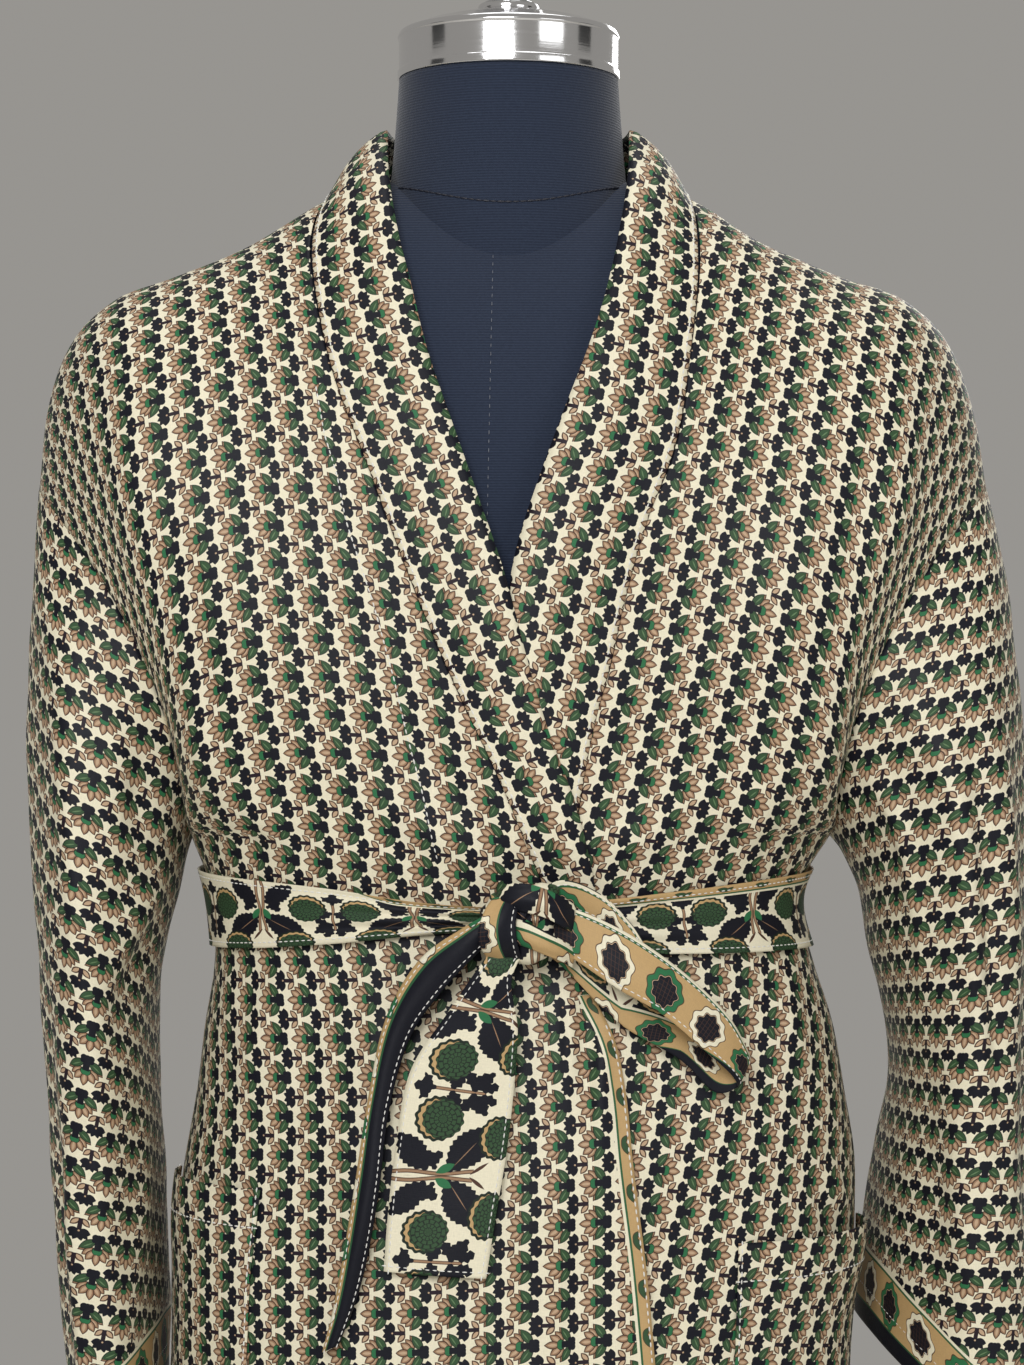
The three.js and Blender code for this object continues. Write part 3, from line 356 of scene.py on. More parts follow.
UNDER_REACH = columns(
    "z x",
    (230, -100), (500, -92), (800, -76), (948, -57), (994, -43), (1037, -22), (1069, -12),
    (1104, -6), (1196, -1.5), (1233, 2), (1286, 18), (1460, 60),
)
LIFT, LIFT_RAMP, LOOSE = BAND + LYING, 34, 4


def lap_lift(p):
    """How far the right front is lifted by what lies under it."""
    past = p[..., 0] - curve(UNDER_REACH, "z", "x", p[..., 2])
    loose = LOOSE * smooth(UNDERARM - p[..., 2], 60, 380)
    return (LIFT + loose) * smooth(past, -LIFT_RAMP - 4, -4)


print("the right front laps", curve(OVER_EDGE, "z", "x", 1000) - curve(UNDER_EDGE, "z", "x", 1000))

# %% [markdown]
# ## Creases
# Soft cloth shows long shallow troughs and ridges where it is pulled, and they are never even. Each
# one here is a bowed line with its own width and height, set where such a robe is pulled: from the
# shoulders to the knot, under the belt and down the sleeves. A simulation could find creases too, but
# it would move the edges that the collar and the belt must meet.

# %% Crease tables and their sum
CREASE = "x0 z0 x1 z1 bow wide high peak"
FRONT_CREASES = columns(
    CREASE,
    (-96, 1130, -10, 1066, 4, 6, 1.6, 0.8),
    (-120, 1112, -22, 1062, 3, 7, -1.5, 0.8),
    (-138, 1092, -34, 1060, 3, 6, 1.5, 0.85),
    (-60, 1150, 2, 1076, 3, 6, -1.2, 0.75),
    (-160, 1120, -118, 1066, -3, 9, 1.8, 0.7),
    (128, 1128, 42, 1066, -4, 8, 1.5, 0.8),
    (150, 1100, 62, 1062, -3, 7, -1.4, 0.8),
    (160, 1140, 132, 1064, 4, 9, 1.7, 0.7),
    (-150, 1180, -172, 1100, 5, 10, 2.4, 0.6),
    (-176, 1210, -160, 1110, -4, 9, -2.2, 0.5),
    (158, 1190, 176, 1102, -5, 10, 2.4, 0.6),
    (182, 1220, 168, 1120, 4, 9, -2.2, 0.5),
    (-214, 1350, -176, 1170, 10, 16, 2.6, 0.4),
    (-196, 1300, -150, 1150, 8, 15, -1.8, 0.5),
    (218, 1350, 184, 1180, -12, 14, 3.2, 0.5),
    (202, 1330, 166, 1160, -8, 13, -2.4, 0.5),
    (-60, 1006, -98, 870, 6, 9, 2.0, 0.25),
    (-96, 1004, -128, 880, 5, 8, -1.8, 0.25),
    (-130, 1006, -150, 900, 4, 8, 1.9, 0.25),
    (34, 1008, 33, 925, 1, 3.6, 2.6, 0.25),
    (43, 1006, 47, 900, 2, 4.5, -2.0, 0.3),
    (52, 1000, 56, 880, 3, 5, 1.8, 0.35),
    (50, 970, 48, 900, 1, 3.4, 1.6, 0.4),
    (26, 940, 16, 770, -5, 7, 2.2, 0.4),
    (7, 885, 15, 800, 3, 4, 1.8, 0.4),
    (6, 890, 30, 700, 4, 8, -2.0, 0.4),
    (92, 1000, 122, 880, -5, 8, 2.2, 0.25),
    (120, 1002, 152, 905, -4, 8, -1.9, 0.25),
    (146, 1004, 172, 930, -3, 7, 1.9, 0.3),
    (-40, 880, -60, 640, 8, 14, 2.6, 0.5),
    (70, 860, 96, 600, -8, 15, 2.6, 0.5),
    (130, 840, 150, 560, 6, 15, -2.6, 0.5),
    (-120, 820, -150, 540, -6, 16, -2.6, 0.5),
    (176, 905, 196, 868, 3, 5, 2.4, 0.5),
    (168, 896, 194, 852, 4, 5, -2.0, 0.5),
)
BACK_CREASES = columns(
    CREASE,
    (-150, 1160, -60, 1066, 5, 9, 2.2, 0.8),
    (-110, 1180, -20, 1064, 4, 9, -2.0, 0.8),
    (-40, 1170, 4, 1066, 3, 8, 2.0, 0.8),
    (60, 1180, 20, 1066, -3, 8, -1.9, 0.8),
    (130, 1170, 52, 1064, -5, 9, 2.3, 0.8),
    (168, 1150, 96, 1066, -4, 9, -2.0, 0.8),
    (-196, 1330, -150, 1160, 10, 15, 2.8, 0.5),
    (204, 1330, 158, 1150, -10, 15, 2.8, 0.5),
    (-120, 1010, -140, 860, 5, 9, 2.3, 0.25),
    (-70, 1010, -84, 840, 4, 9, -2.2, 0.25),
    (-20, 1010, -26, 860, 3, 8, 2.2, 0.25),
    (36, 1010, 44, 850, -3, 9, -2.2, 0.25),
    (84, 1010, 98, 860, -4, 9, 2.3, 0.25),
    (134, 1010, 152, 880, -4, 9, -2.0, 0.25),
    (-60, 840, -80, 560, 8, 16, 2.8, 0.5),
    (70, 820, 90, 540, -8, 16, -2.8, 0.5),
)


CREASE_DEPTH = 1.4


def crease_height(table, across, up):
    height = np.zeros(np.shape(across))
    for x0, z0, x1, z1, bow, wide, high, peak in zip(*table.values()):
        dx, dz = x1 - x0, z1 - z0
        length = math.hypot(dx, dz)
        t = np.clip(((across - x0) * dx + (up - z0) * dz) / length**2, 0, 1)
        off = ((across - x0) * dz - (up - z0) * dx) / length - 4 * bow * t * (1 - t)
        taper = smooth(t, 0, peak) * smooth(1 - t, 0, 1 - peak)
        height = height + high * np.exp(-((off / wide) ** 2)) * taper
    return CREASE_DEPTH * height


RIPPLES = columns(
    "x y z size",
    (0.031, 0.012, 0.017, 0.34),
    (-0.022, 0.027, 0.036, 0.28),
    (0.052, 0.041, -0.028, 0.2),
    (0.018, -0.05, 0.061, 0.16),
)


def ripple(p, pace, start):
    """A very shallow unevenness over the whole cloth."""
    waves = ((np.array(way), size) for *way, size in zip(*RIPPLES.values()))
    return sum(size * np.sin(p @ way * pace + start * size) for way, size in waves)


BELT_LINE, BELT_HOLD, BELT_FREE = 1040, 25, 46
GATHER = {"high": 0.9, "per_mm": 0.2, "reach": 85}


def gathers(p):
    """Short folds that fan out from the belt's edges, closer together in some places."""
    phase = p[..., 0] * GATHER["per_mm"] + 2.2 * np.sin(p[..., 0] * 0.041 + 0.6)
    away = abs(p[..., 2] - BELT_LINE)
    return GATHER["high"] * np.sin(phase) * smooth(GATHER["reach"] - away, 0, GATHER["reach"] - BELT_HOLD)


def drape(p, normal):
    """How far the cloth stands off its smooth form at points of the robe."""
    front = crease_height(FRONT_CREASES, p[..., 0], p[..., 2])
    back = crease_height(BACK_CREASES, p[..., 0], p[..., 2])
    height = front * smooth(-normal[..., 1], 0.1, 0.5) + back * smooth(normal[..., 1], 0.1, 0.5)
    height = height + ripple(p, 2, 9) + gathers(p)
    return height * smooth(abs(p[..., 2] - BELT_LINE), BELT_HOLD, BELT_FREE)


print(len(FRONT_CREASES["wide"]) + len(BACK_CREASES["wide"]), "creases on the body")

# %% [markdown]
# ## From a grid of points to a sheet of cloth
# Every cloth piece is a grid: rows up, columns across. The grid's two faces and its rim close into a
# thin wall. Two UV maps go with it. "print" is the place on the flat cloth in metres, so the printed
# repeat keeps its size round every curve. "edge" is the distance from a finished edge, for borders.

# %% Grid helpers
THIN = 0.7  # thickness of the visible shell
NO_EDGE = 60.0  # a distance at which no border is printed


def grid_normals(grid, facing, closed=False):
    """Unit normals of a grid, on the side that the vectors `facing` point to."""
    if closed:
        across = np.roll(grid, -1, 1) - np.roll(grid, 1, 1)
    else:
        across = np.gradient(grid, axis=1)
    normal = unit(np.cross(across, np.gradient(grid, axis=0)))
    if np.sum(normal * facing) < 0:
        normal = -normal
    return normal


def lengths(grid, axis):
    """Running length along one way of a grid, in millimetres."""
    step = np.linalg.norm(np.diff(grid, axis=axis), axis=-1)
    total = np.cumsum(step, axis=axis)
    start = np.zeros_like(np.take(total, [0], axis=axis))
    return np.concatenate([start, total], axis=axis)


def tilted(along, across, turn):
    """A flat place in metres, turned by an angle in degrees, as the "print" map wants it."""
    angle = np.radians(turn)
    c, s = np.cos(angle), np.sin(angle)
    return np.stack([along * c - across * s, across * c + along * s], -1) * MM


def quads(i, j, *corners):
    """Quads as rows of corners, each corner a (row, column, side) of the grid."""
    made = [np.stack([i + di, j + dj, np.full_like(i, side)], -1) for di, dj, side in corners]
    return np.stack(made, 1)


def wall_corners(rows, count, closed):
    """The corners of every face of a wall: outer side, inner side and rim."""
    steps = count if closed else count - 1
    i, j = (a.ravel() for a in np.meshgrid(np.arange(rows - 1), np.arange(steps), indexing="ij"))
    j_end, i_end = np.arange(steps), np.arange(rows - 1)
    first, last = np.zeros_like(j_end), np.full_like(j_end, rows - 1)
    faces = [
        quads(i, j, (0, 0, 1), (0, 1, 1), (1, 1, 1), (1, 0, 1)),
        quads(i, j, (0, 0, 0), (1, 0, 0), (1, 1, 0), (0, 1, 0)),
        quads(first, j_end, (0, 0, 0), (0, 1, 0), (0, 1, 1), (0, 0, 1)),
        quads(last, j_end, (0, 0, 1), (0, 1, 1), (0, 1, 0), (0, 0, 0)),
    ]
    if not closed:
        near, far = np.zeros_like(i_end), np.full_like(i_end, count - 1)
        faces.append(quads(i_end, near, (0, 0, 0), (0, 0, 1), (1, 0, 1), (1, 0, 0)))
        faces.append(quads(i_end, far, (0, 0, 1), (0, 0, 0), (1, 0, 0), (1, 0, 1)))
    return np.concatenate(faces)


def show(name, mesh):
    """Put a mesh in the scene as a piece of the one body."""
    piece = bpy.data.objects.new(name, mesh)
    scene.collection.objects.link(piece)
    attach(piece, "root")
    print(name, len(mesh.polygons), "faces")
    return piece


def add_mesh(name, points, faces, material):
    mesh = bpy.data.meshes.new(name)
    mesh.from_pydata((points * MM).tolist(), [], faces)
    mesh.materials.append(material)
    mesh.shade_smooth()
    return show(name, mesh)


def stands_for(piece, node):
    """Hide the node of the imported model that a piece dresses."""
    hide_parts(node)


def outward(points, faces):
    """True if faces of four corners close round the inside with their fronts out."""
    a, b, c, d = (points[faces[:, k]] for k in range(4))
    return np.sum(a * np.cross(b, c)) + np.sum(a * np.cross(c, d)) > 0


def cloth(name, inner, outer, places, edge, material, closed=False):
    """A thin closed wall between two grids, with its two UV maps."""
    rows, count = inner.shape[:2]
    corners = wall_corners(rows, count, closed)
    faces = 2 * (corners[..., 0] * count + corners[..., 1] % count) + corners[..., 2]
    points = np.stack([inner, outer], 2).reshape(-1, 3)
    if not outward(points, faces):
        corners, faces = corners[:, ::-1], faces[:, ::-1]
    piece = add_mesh(name, points, faces.tolist(), material)
    for label, values in (("print", places), ("edge", edge)):
        layer = piece.data.uv_layers.new(name=label)
        layer.data.foreach_set("uv", values[corners[..., 0], corners[..., 1]].ravel())
    return piece


def edge_places(distance, run):
    """The "edge" UV map: distance from the finished edge and the run along it, in metres."""
    return np.stack(np.broadcast_arrays(distance, run), -1) * MM


# %% [markdown]
# ## Writing patterns as sums
# A printed pattern in a node tree is arithmetic on the place: a petal is where a distance is above
# zero. Dozens of loose Math nodes are hard to read, so a small class turns + - * into those nodes.

# %% Nodes
def fill(tree, node, inputs):
    """Set each input of a node to a value, or link it to the socket that gives it."""
    for name, value in inputs.items():
        if isinstance(value, bpy.types.NodeSocket):
            tree.links.new(value, node.inputs[name])
        else:
            node.inputs[name].default_value = value


def add_node(tree, kind, inputs=(), **settings):
    node = tree.nodes.new(kind)
    for name, value in settings.items():
        setattr(node, name, value)
    fill(tree, node, dict(inputs))
    return node


def mixed(tree, share, low, high):
    inputs = {"Factor": share, "A": low, "B": high}
    return add_node(tree, "ShaderNodeMix", inputs, data_type="RGBA").outputs["Result"]


def object_place(tree):
    return add_node(tree, "ShaderNodeTexCoord").outputs["Object"]


# %% Wires and paint
class Wire:
    """A number on its way through a node tree."""

    def __init__(self, tree, socket):
        self.tree = tree
        self.socket = socket

    def math(self, operation, *others, clamp=False):
        terms = [term.socket if isinstance(term, Wire) else term for term in (self, *others)]
        kind, inputs = "ShaderNodeMath", dict(enumerate(terms))
        node = add_node(self.tree, kind, inputs, operation=operation, use_clamp=clamp)
        return Wire(self.tree, node.outputs[0])

    def __add__(self, other):
        return self.math("ADD", other)

    __radd__ = __add__

    def __sub__(self, other):
        return self.math("SUBTRACT", other)

    def __rsub__(self, other):
        return self.math("MULTIPLY_ADD", -1.0, other)

    def __mul__(self, other):
        return self.math("MULTIPLY", other)

    __rmul__ = __mul__

    def __mod__(self, other):
        return self.math("FLOORED_MODULO", other)

    def __abs__(self):
        return self.math("ABSOLUTE")

    def both(self, other):
        return self.math("MINIMUM", other)

    def either(self, other):
        return self.math("MAXIMUM", other)

    def mask(self, soft=0.12):
        """1 where the wire is above zero, with a soft edge as wide as ink has on cloth."""
        return self.math("MULTIPLY", 1 / soft, clamp=True)


class Paint:
    """A colour that further inks are laid over."""

    def __init__(self, tree, socket):
        self.tree = tree
        self.socket = socket

    def over(self, inside, ink):
        return Paint(self.tree, mixed(self.tree, inside.mask().socket, self.socket, ink))

    def inked(self, inside, *steps):
        """Inks laid over one shape, each with how far it goes past the shape's own outline."""
        paint = self
        for past, name in steps:
            paint = paint.over(inside + past if past else inside, INK[name])
        return paint


def ink(red, green, blue):
    """A colour as a printer names it, 0 to 255, turned to the light it gives back."""
    share = np.array([red, green, blue]) / 255
    light = np.where(share <= 0.04045, share / 12.92, ((share + 0.055) / 1.055) ** 2.4)
    return (*light.tolist(), 1.0)


INK = {
    "cream": ink(234, 227, 201),
    "navy": ink(12, 14, 26),
    "plum": ink(34, 22, 32),
    "dark": ink(26, 38, 28),
    "leaf": ink(52, 80, 52),
    "light leaf": ink(98, 126, 88),
    "bright": ink(44, 110, 70),
    "tan": ink(156, 124, 96),
    "pale tan": ink(192, 164, 134),
    "border": ink(190, 158, 110),
    "brown": ink(78, 52, 40),
    "line": ink(46, 94, 60),
}


def flat_colour(tree, colour):
    node = tree.nodes.new("ShaderNodeRGB")
    node.outputs[0].default_value = colour
    return Paint(tree, node.outputs[0])


def new_group(name, inputs, outputs):
    """A shader node group with named sockets, and its input and output nodes."""
    tree = bpy.data.node_groups.new(name, "ShaderNodeTree")
    for label, kind in inputs.items():
        tree.interface.new_socket(label, in_out="INPUT", socket_type="NodeSocket" + kind)
    for label, kind in outputs.items():
        tree.interface.new_socket(label, in_out="OUTPUT", socket_type="NodeSocket" + kind)
    return tree, tree.nodes.new("NodeGroupInput"), tree.nodes.new("NodeGroupOutput")


def split(tree, socket, scale=1000.0):
    """The x and y of a place in metres, as wires in millimetres."""
    node = add_node(tree, "ShaderNodeSeparateXYZ", {0: socket})
    return [Wire(tree, node.outputs[k]) * scale for k in (0, 1)]


print(len(INK), "inks")

# %% Shapes that the print is made of


def turned(x, y, angle):
    c, s = math.cos(math.radians(angle)), math.sin(math.radians(angle))
    along = y.math("MULTIPLY_ADD", s, x * c)
    across = x.math("MULTIPLY_ADD", -s, y * c)
    return along, across


def blade(x, y, start, tip, half):
    """Inside a leaf or petal with a point at each end."""
    length = math.dist(start, tip)
    angle = math.degrees(math.atan2(tip[1] - start[1], tip[0] - start[0]))
    along, across = turned(x - start[0], y - start[1], angle)
    t = along * (1 / length)
    return (t * (1 - t)) * (4 * half) - abs(across)


def disc(x, y, cx, cy, radius):
    dx, dy = x - cx, y - cy
    return radius - dy.math("MULTIPLY_ADD", dy, dx * dx).math("SQRT")


def polar(x, y):
    return y.math("MULTIPLY_ADD", y, x * x).math("SQRT"), y.math("ARCTAN2", x)


def box(x, y, x0, x1, half):
    """Inside a straight bar along x."""
    return (x - x0).both(x1 - x).both(half - abs(y))


# %% [markdown]
# ## The small repeat
# The robe's cloth is printed with two motifs: a lotus with a navy cap, two long leaves and a fan of
# outlined petals, and half a row over a small navy flower on a stem. Both point the same way. Each is
# even about its middle line, so one half is drawn and the sign of y dropped.

# %% Group: the small repeat
REPEAT_LONG, REPEAT_WIDE = 19.6, 21.2
SHRINK = {"lotus": 1.06, "flower": 0.99}
PETALS = (
    ((6.4, 3.2), (10.6, 9.9), 1.5),
    ((8.0, 2.4), (13.2, 7.7), 1.8),
    ((9.4, 1.2), (15.9, 5.6), 2.1),
    ((10.4, 0.0), (18.6, 0.0), 2.1),
)


def lotus(paint, x, y):
    """The cap's end is at the origin and the middle petal's tip is furthest along x."""
    x, y = x * SHRINK["lotus"], abs(y) * SHRINK["lotus"]
    for start, tip, half in PETALS:
        petal = blade(x, y, start, tip, half)
        paint = paint.inked(petal, (0.3, "brown"), (-0.4, "tan"), (-1.2, "pale tan"))
    leaf = blade(x, y, (3.4, 0.9), (9.4, 9.6), 2.3)
    paint = paint.inked(leaf, (0.35, "dark"), (-0.15, "leaf"))
    paint = paint.over(blade(x, y, (5.4, 3.1), (8.7, 8.0), 0.42), INK["light leaf"])
    paint = paint.over(disc(x, y, 9.9, 0.7, 2.4), INK["dark"])
    paint = paint.over(disc(x, y, 10.2, 0.8, 1.85), INK["bright"])
    cap = disc(x, y, 2.9, 0, 2.9).either(disc(x, y, 1.9, 1.9, 1.95)).either(disc(x, y, 3.7, 2.3, 1.6))
    return paint.over(cap.either(box(x, y, 3.0, 9.6, 1.95)), INK["navy"])


def small_flower(paint, x, y):
    """The flower's heart is at the origin and its stem runs back along -x."""
    x, y = x * SHRINK["flower"], abs(y) * SHRINK["flower"]
    sepal = blade(x, y, (-6.6, 0.4), (-2.8, 4.7), 1.4)
    paint = paint.inked(sepal, (0.35, "brown"), (-0.4, "pale tan"))
    paint = paint.over(box(x, y, -6.8, 0.5, 1.15), INK["plum"])
    bloom = blade(x, y, (0.4, -0.8), (1.2, 6.0), 2.3).either(blade(x, y, (0.6, 0.2), (5.6, 2.0), 1.5))
    bloom = bloom.either(blade(x, y, (0.4, 0.4), (4.4, 4.9), 1.5))
    paint = paint.over(bloom.either(disc(x, y, 1.9, 0, 2.5)), INK["navy"])
    return paint.over(disc(x, y, 0.2, 0, 0.55), INK["pale tan"])


repeat_tree, source, sink = new_group("small repeat", {"Place": "Vector"}, {"Colour": "Color"})
along, across = split(repeat_tree, source.outputs["Place"])
shade = flat_colour(repeat_tree, INK["cream"])
half_wide = REPEAT_WIDE / 2
stem_room = 9.5
shade = lotus(shade, along % REPEAT_LONG, (across + half_wide) % REPEAT_WIDE - half_wide)
shade = small_flower(
    shade,
    (along + stem_room + 0.3) % REPEAT_LONG - stem_room,
    across % REPEAT_WIDE - half_wide,
)
fill(repeat_tree, sink, {"Colour": shade.socket})
print("small repeat:", len(repeat_tree.nodes), "nodes")

# %% [markdown]
# ## The belt's flowers and borders
# Belt, cuffs and front edges are cut from the border of the same cloth: green chrysanthemums, navy
# leaves on double stems, and a tan strip between green lines with a navy edge. The flowers mirror
# along the strip, which one ping-pong step does.

# %% Group: belt flowers
BELT_HALF_REPEAT = 46.5


def chrysanthemum(paint, x, y, radius):
    """Rings of small green petals, with a tan crescent behind them."""
    behind, around = polar(x + 2.4, y)
    rim = radius + (around * 16.0).math("SINE") * 0.45 - behind
    paint = paint.inked(rim, (0.4, "dark"), (-1.3, "border"))
    reach, angle = polar(x, y)
    outline = (radius - 1.3) + (angle * 14.0).math("SINE") * 0.4 - reach
    paint = paint.inked(outline, (0.3, "dark"), (0, "leaf"))
    ring = reach * (1 / 2.3)
    spoke = abs((angle * (12 / math.tau) + (ring - ring % 1.0) * 0.5) % 1.0 - 0.5)
    lines = (spoke - 0.35).either(abs(ring % 1.0 - 0.5) - 0.38)
    return paint.over(lines.both(outline) * 2.0, INK["dark"])


def serrated(x, y, start, tip, half):
    """A blade with toothed edges."""
    angle = math.degrees(math.atan2(tip[1] - start[1], tip[0] - start[0]))
    along, _ = turned(x - start[0], y - start[1], angle)
    teeth = abs((along * 0.3) % 1.0 - 0.5) * 2.6
    return blade(x, y, start, tip, half) - teeth


def all_of(shapes):
    whole = shapes[0]
    for shape in shapes[1:]:
        whole = whole.either(shape)
    return whole


BELT_LEAVES = (
    ((28, 45), (48, 18), 9.8),
    ((19, 44), (1, 24), 7.6),
    ((15, 42), (26, 33), 4.2),
    ((23, 44), (17, 32), 3.4),
    ((18, -1), (4, 0), 4.8),
    ((14, 0), (9, 7), 3.2),
    ((24, 0), (31, 9), 3.6),
    ((28, 1), (23, 8), 3.0),
    ((35, 0), (45, 13), 5.0),
    ((37, 2), (31, 12), 3.8),
    ((40, 1), (50, 6), 3.6),
)

belt_tree, source, sink = new_group("belt flowers", {"Place": "Vector"}, {"Colour": "Color"})
along, across = split(belt_tree, source.outputs["Place"])
y = along.math("PINGPONG", BELT_HALF_REPEAT)
x = across
shade = flat_colour(belt_tree, INK["cream"])
stem_y = (y - BELT_HALF_REPEAT) + (x * 0.18).math("SINE") * 0.7
for half, colour in ((3.0, "brown"), (2.5, "tan"), (1.2, "brown"), (0.7, "cream")):
    shade = shade.over(box(x, stem_y, -2, 42, half), INK[colour])
shade = shade.over(blade(x, y, (40, 46), (49, 39), 1.0), INK["brown"])
shade = shade.inked(box(x, y, 12, 43, 1.0), (0, "brown"), (-0.4, "tan"))
shade = shade.over(all_of([serrated(x, y, *leaf) for leaf in BELT_LEAVES]), INK["navy"])
shade = shade.over(blade(x, y, (31, 42), (42, 27), 0.3), INK["tan"])
shade = shade.over(blade(x, y, (23, 45), (32, 40), 2.4), INK["bright"])
shade = chrysanthemum(shade, x - 23, y - 16, 11.5)
shade = chrysanthemum(shade, (x - 54) * 1.3, y - 25, 12.5)
fill(belt_tree, sink, {"Colour": shade.socket})
print("belt flowers:", len(belt_tree.nodes), "nodes")

# %% Group: border strip
STRIP = {"navy": 11.0, "tan": 39.0, "line": 1.1, "pitch": 32.0, "flower": 25.0}

strip_tree, source, sink = new_group(
    "border strip",
    {"Place": "Vector", "Colour": "Color"},
    {"Colour": "Color"},
)
along, across = split(strip_tree, source.outputs["Place"])
shade = Paint(strip_tree, source.outputs["Colour"])
shade = shade.inked(STRIP["tan"] - across, (3.4, "cream"), (1.4, "line"), (0, "border"))
x = (along % STRIP["pitch"] - STRIP["pitch"] / 2) * 1.1
y = across - STRIP["flower"]
every_second = (along % (2 * STRIP["pitch"]) - STRIP["pitch"]) * 100.0
reach, angle = polar(x, y)
scallop = (angle * 9.0).math("SINE") * 0.8 + (angle * 4.0 + 1.0).math("SINE") * 0.5
outer = (12.2 - reach) + scallop
shade = shade.inked(outer, (0.6, "brown"), (0, "bright"))
shade = shade.over(outer.both(every_second), INK["cream"])
inner = (8.6 - reach) + scallop * 0.9
shade = shade.inked(inner, (0.5, "dark"), (0.1, "pale tan"), (-0.3, "navy"))
hatch = (abs((x * 0.38) % 1.0 - 0.5) - 0.42).either(abs((y * 0.38) % 1.0 - 0.5) - 0.44)
shade = shade.over(hatch.both(inner - 1.6) * 2.0, INK["brown"])
shade = shade.inked(STRIP["navy"] - across, (STRIP["line"], "line"), (0, "navy"))
fill(strip_tree, sink, {"Colour": shade.socket})
print("border strip:", len(strip_tree.nodes), "nodes")

# %% Group: narrow edge of the fronts
EDGE_TAN, EDGE_LINE, EDGE_CREAM = 6.4, 1.2, 2.8

edge_tree, source, sink = new_group(
    "narrow edge",
    {"Place": "Vector", "Colour": "Color"},
    {"Colour": "Color"},
)
distance, run = split(edge_tree, source.outputs["Place"])
shade = Paint(edge_tree, source.outputs["Colour"])
shade = shade.inked(EDGE_TAN - distance, (EDGE_CREAM, "cream"), (EDGE_LINE, "line"), (0, "border"))
x = run % 26.0 - 13.0
bud = blade(x, distance, (-4, 2.4), (4, 4.6), 1.7).either(blade(x, distance, (6, 2.2), (1, 5.2), 1.2))
shade = shade.inked(bud, (0.4, "brown"), (0, "leaf"))
fill(edge_tree, sink, {"Colour": shade.socket})
print("narrow edge:", len(edge_tree.nodes), "nodes")

# %% [markdown]
# ## How the cloth takes light
# It is a light plain weave with a soft shine. Under the print, two stretched noises give uneven
# threads, and they feed colour and a very shallow bump. Roughness varies a little with them, and the
# sheen is set on the shader itself.

# %% Group: plain weave
weave_tree, source, sink = new_group(
    "plain weave",
    {"Place": "Vector", "Colour": "Color"},
    {"Colour": "Color", "Height": "Float", "Roughness": "Float"},
)
threads = []
for label, stretch in (("warp", (2400, 260, 1)), ("weft", (260, 2400, 1))):
    inputs = {"Vector": source.outputs["Place"], "Scale": stretch}
    mapping = add_node(weave_tree, "ShaderNodeMapping", inputs)
    inputs = {"Vector": mapping.outputs[0], "Scale": 1.0, "Detail": 1.0}
    noise = add_node(weave_tree, "ShaderNodeTexNoise", inputs, name=label, noise_dimensions="2D")
    threads.append(Wire(weave_tree, noise.outputs[0]))
height = threads[0] + threads[1]
inputs = {"Value": (height * 0.16 + 0.84).socket, "Color": source.outputs["Colour"]}
tone = add_node(weave_tree, "ShaderNodeHueSaturation", inputs)
roughness = (height * 0.14 + 0.40).socket
fill(weave_tree, sink, {"Colour": tone.outputs[0], "Height": height.socket, "Roughness": roughness})
print("plain weave:", len(weave_tree.nodes), "nodes")

# %% Cloth materials


def put_group(tree, group, **links):
    return add_node(tree, "ShaderNodeGroup", links, node_tree=group)


def uv_socket(tree, name):
    return add_node(tree, "ShaderNodeUVMap", uv_map=name).outputs["UV"]


def new_material(name, shown):
    material = bpy.data.materials.new(name)
    material.use_nodes = True
    material.diffuse_color = shown
    return material, material.node_tree, material.node_tree.nodes["Principled BSDF"]


def bump(tree, shader, height, distance):
    node = add_node(tree, "ShaderNodeBump", {"Distance": distance, "Strength": 0.6, "Height": height})
    fill(tree, shader, {"Normal": node.outputs["Normal"]})


CLOTH_SHINE = {"Sheen Weight": 0.02, "Sheen Roughness": 0.4, "Specular IOR Level": 0.25}


def cloth_material(name, print_tree, strip=None, strip_map="edge"):
    """Printed cloth: a print, a border strip laid over it if there is one, and the weave."""
    material, tree, shader = new_material(name, INK["cream"])
    flat = uv_socket(tree, "print")
    colour = put_group(tree, print_tree, Place=flat).outputs["Colour"]
    if strip:
        laid = put_group(tree, strip, Place=uv_socket(tree, strip_map), Colour=colour)
        colour = laid.outputs["Colour"]
    weave = put_group(tree, weave_tree, Place=flat, Colour=colour)
    printed, roughness = weave.outputs["Colour"], weave.outputs["Roughness"]
    fill(tree, shader, {"Base Color": printed, "Roughness": roughness, **CLOTH_SHINE})
    bump(tree, shader, weave.outputs["Height"], 0.00012)
    return material


robe_cloth = cloth_material("robe cloth", repeat_tree)
front_cloth = cloth_material("front cloth with its edge", repeat_tree, edge_tree)
cuff_cloth = cloth_material("sleeve cloth with its cuff border", repeat_tree, strip_tree)
belt_cloth = cloth_material("belt cloth", belt_tree, edge_tree)
bow_cloth = cloth_material("belt cloth with the wide border", belt_tree, strip_tree)
print("cloth materials:", len(bpy.data.materials))

# %% [markdown]
# ## Back and fronts
# Each panel is one sheet from hem to shoulder. The right front's lift makes room for the left one
# under it. The creases are added along the normals of the smooth form, so lying layers stay apart.

# %% Panels
SKIRT_ROWS, CHEST_ROWS, PANEL_COLUMNS = 150, 84, 96
LEVELS = np.concatenate(
    [
        np.linspace(HEM - UNDERARM, 0, SKIRT_ROWS, endpoint=False),
        np.linspace(0, 1, CHEST_ROWS),
    ]
)[:, None]
UNDERARM_ROW = SKIRT_ROWS
OPEN_BELOW = 1000  # height under which a front's edge hangs free of the collar
SIDE_HOLD = 0.1  # share of a panel's half width over which its creases die out at the side seam


MAP_U = np.linspace(-1, 1, 161)


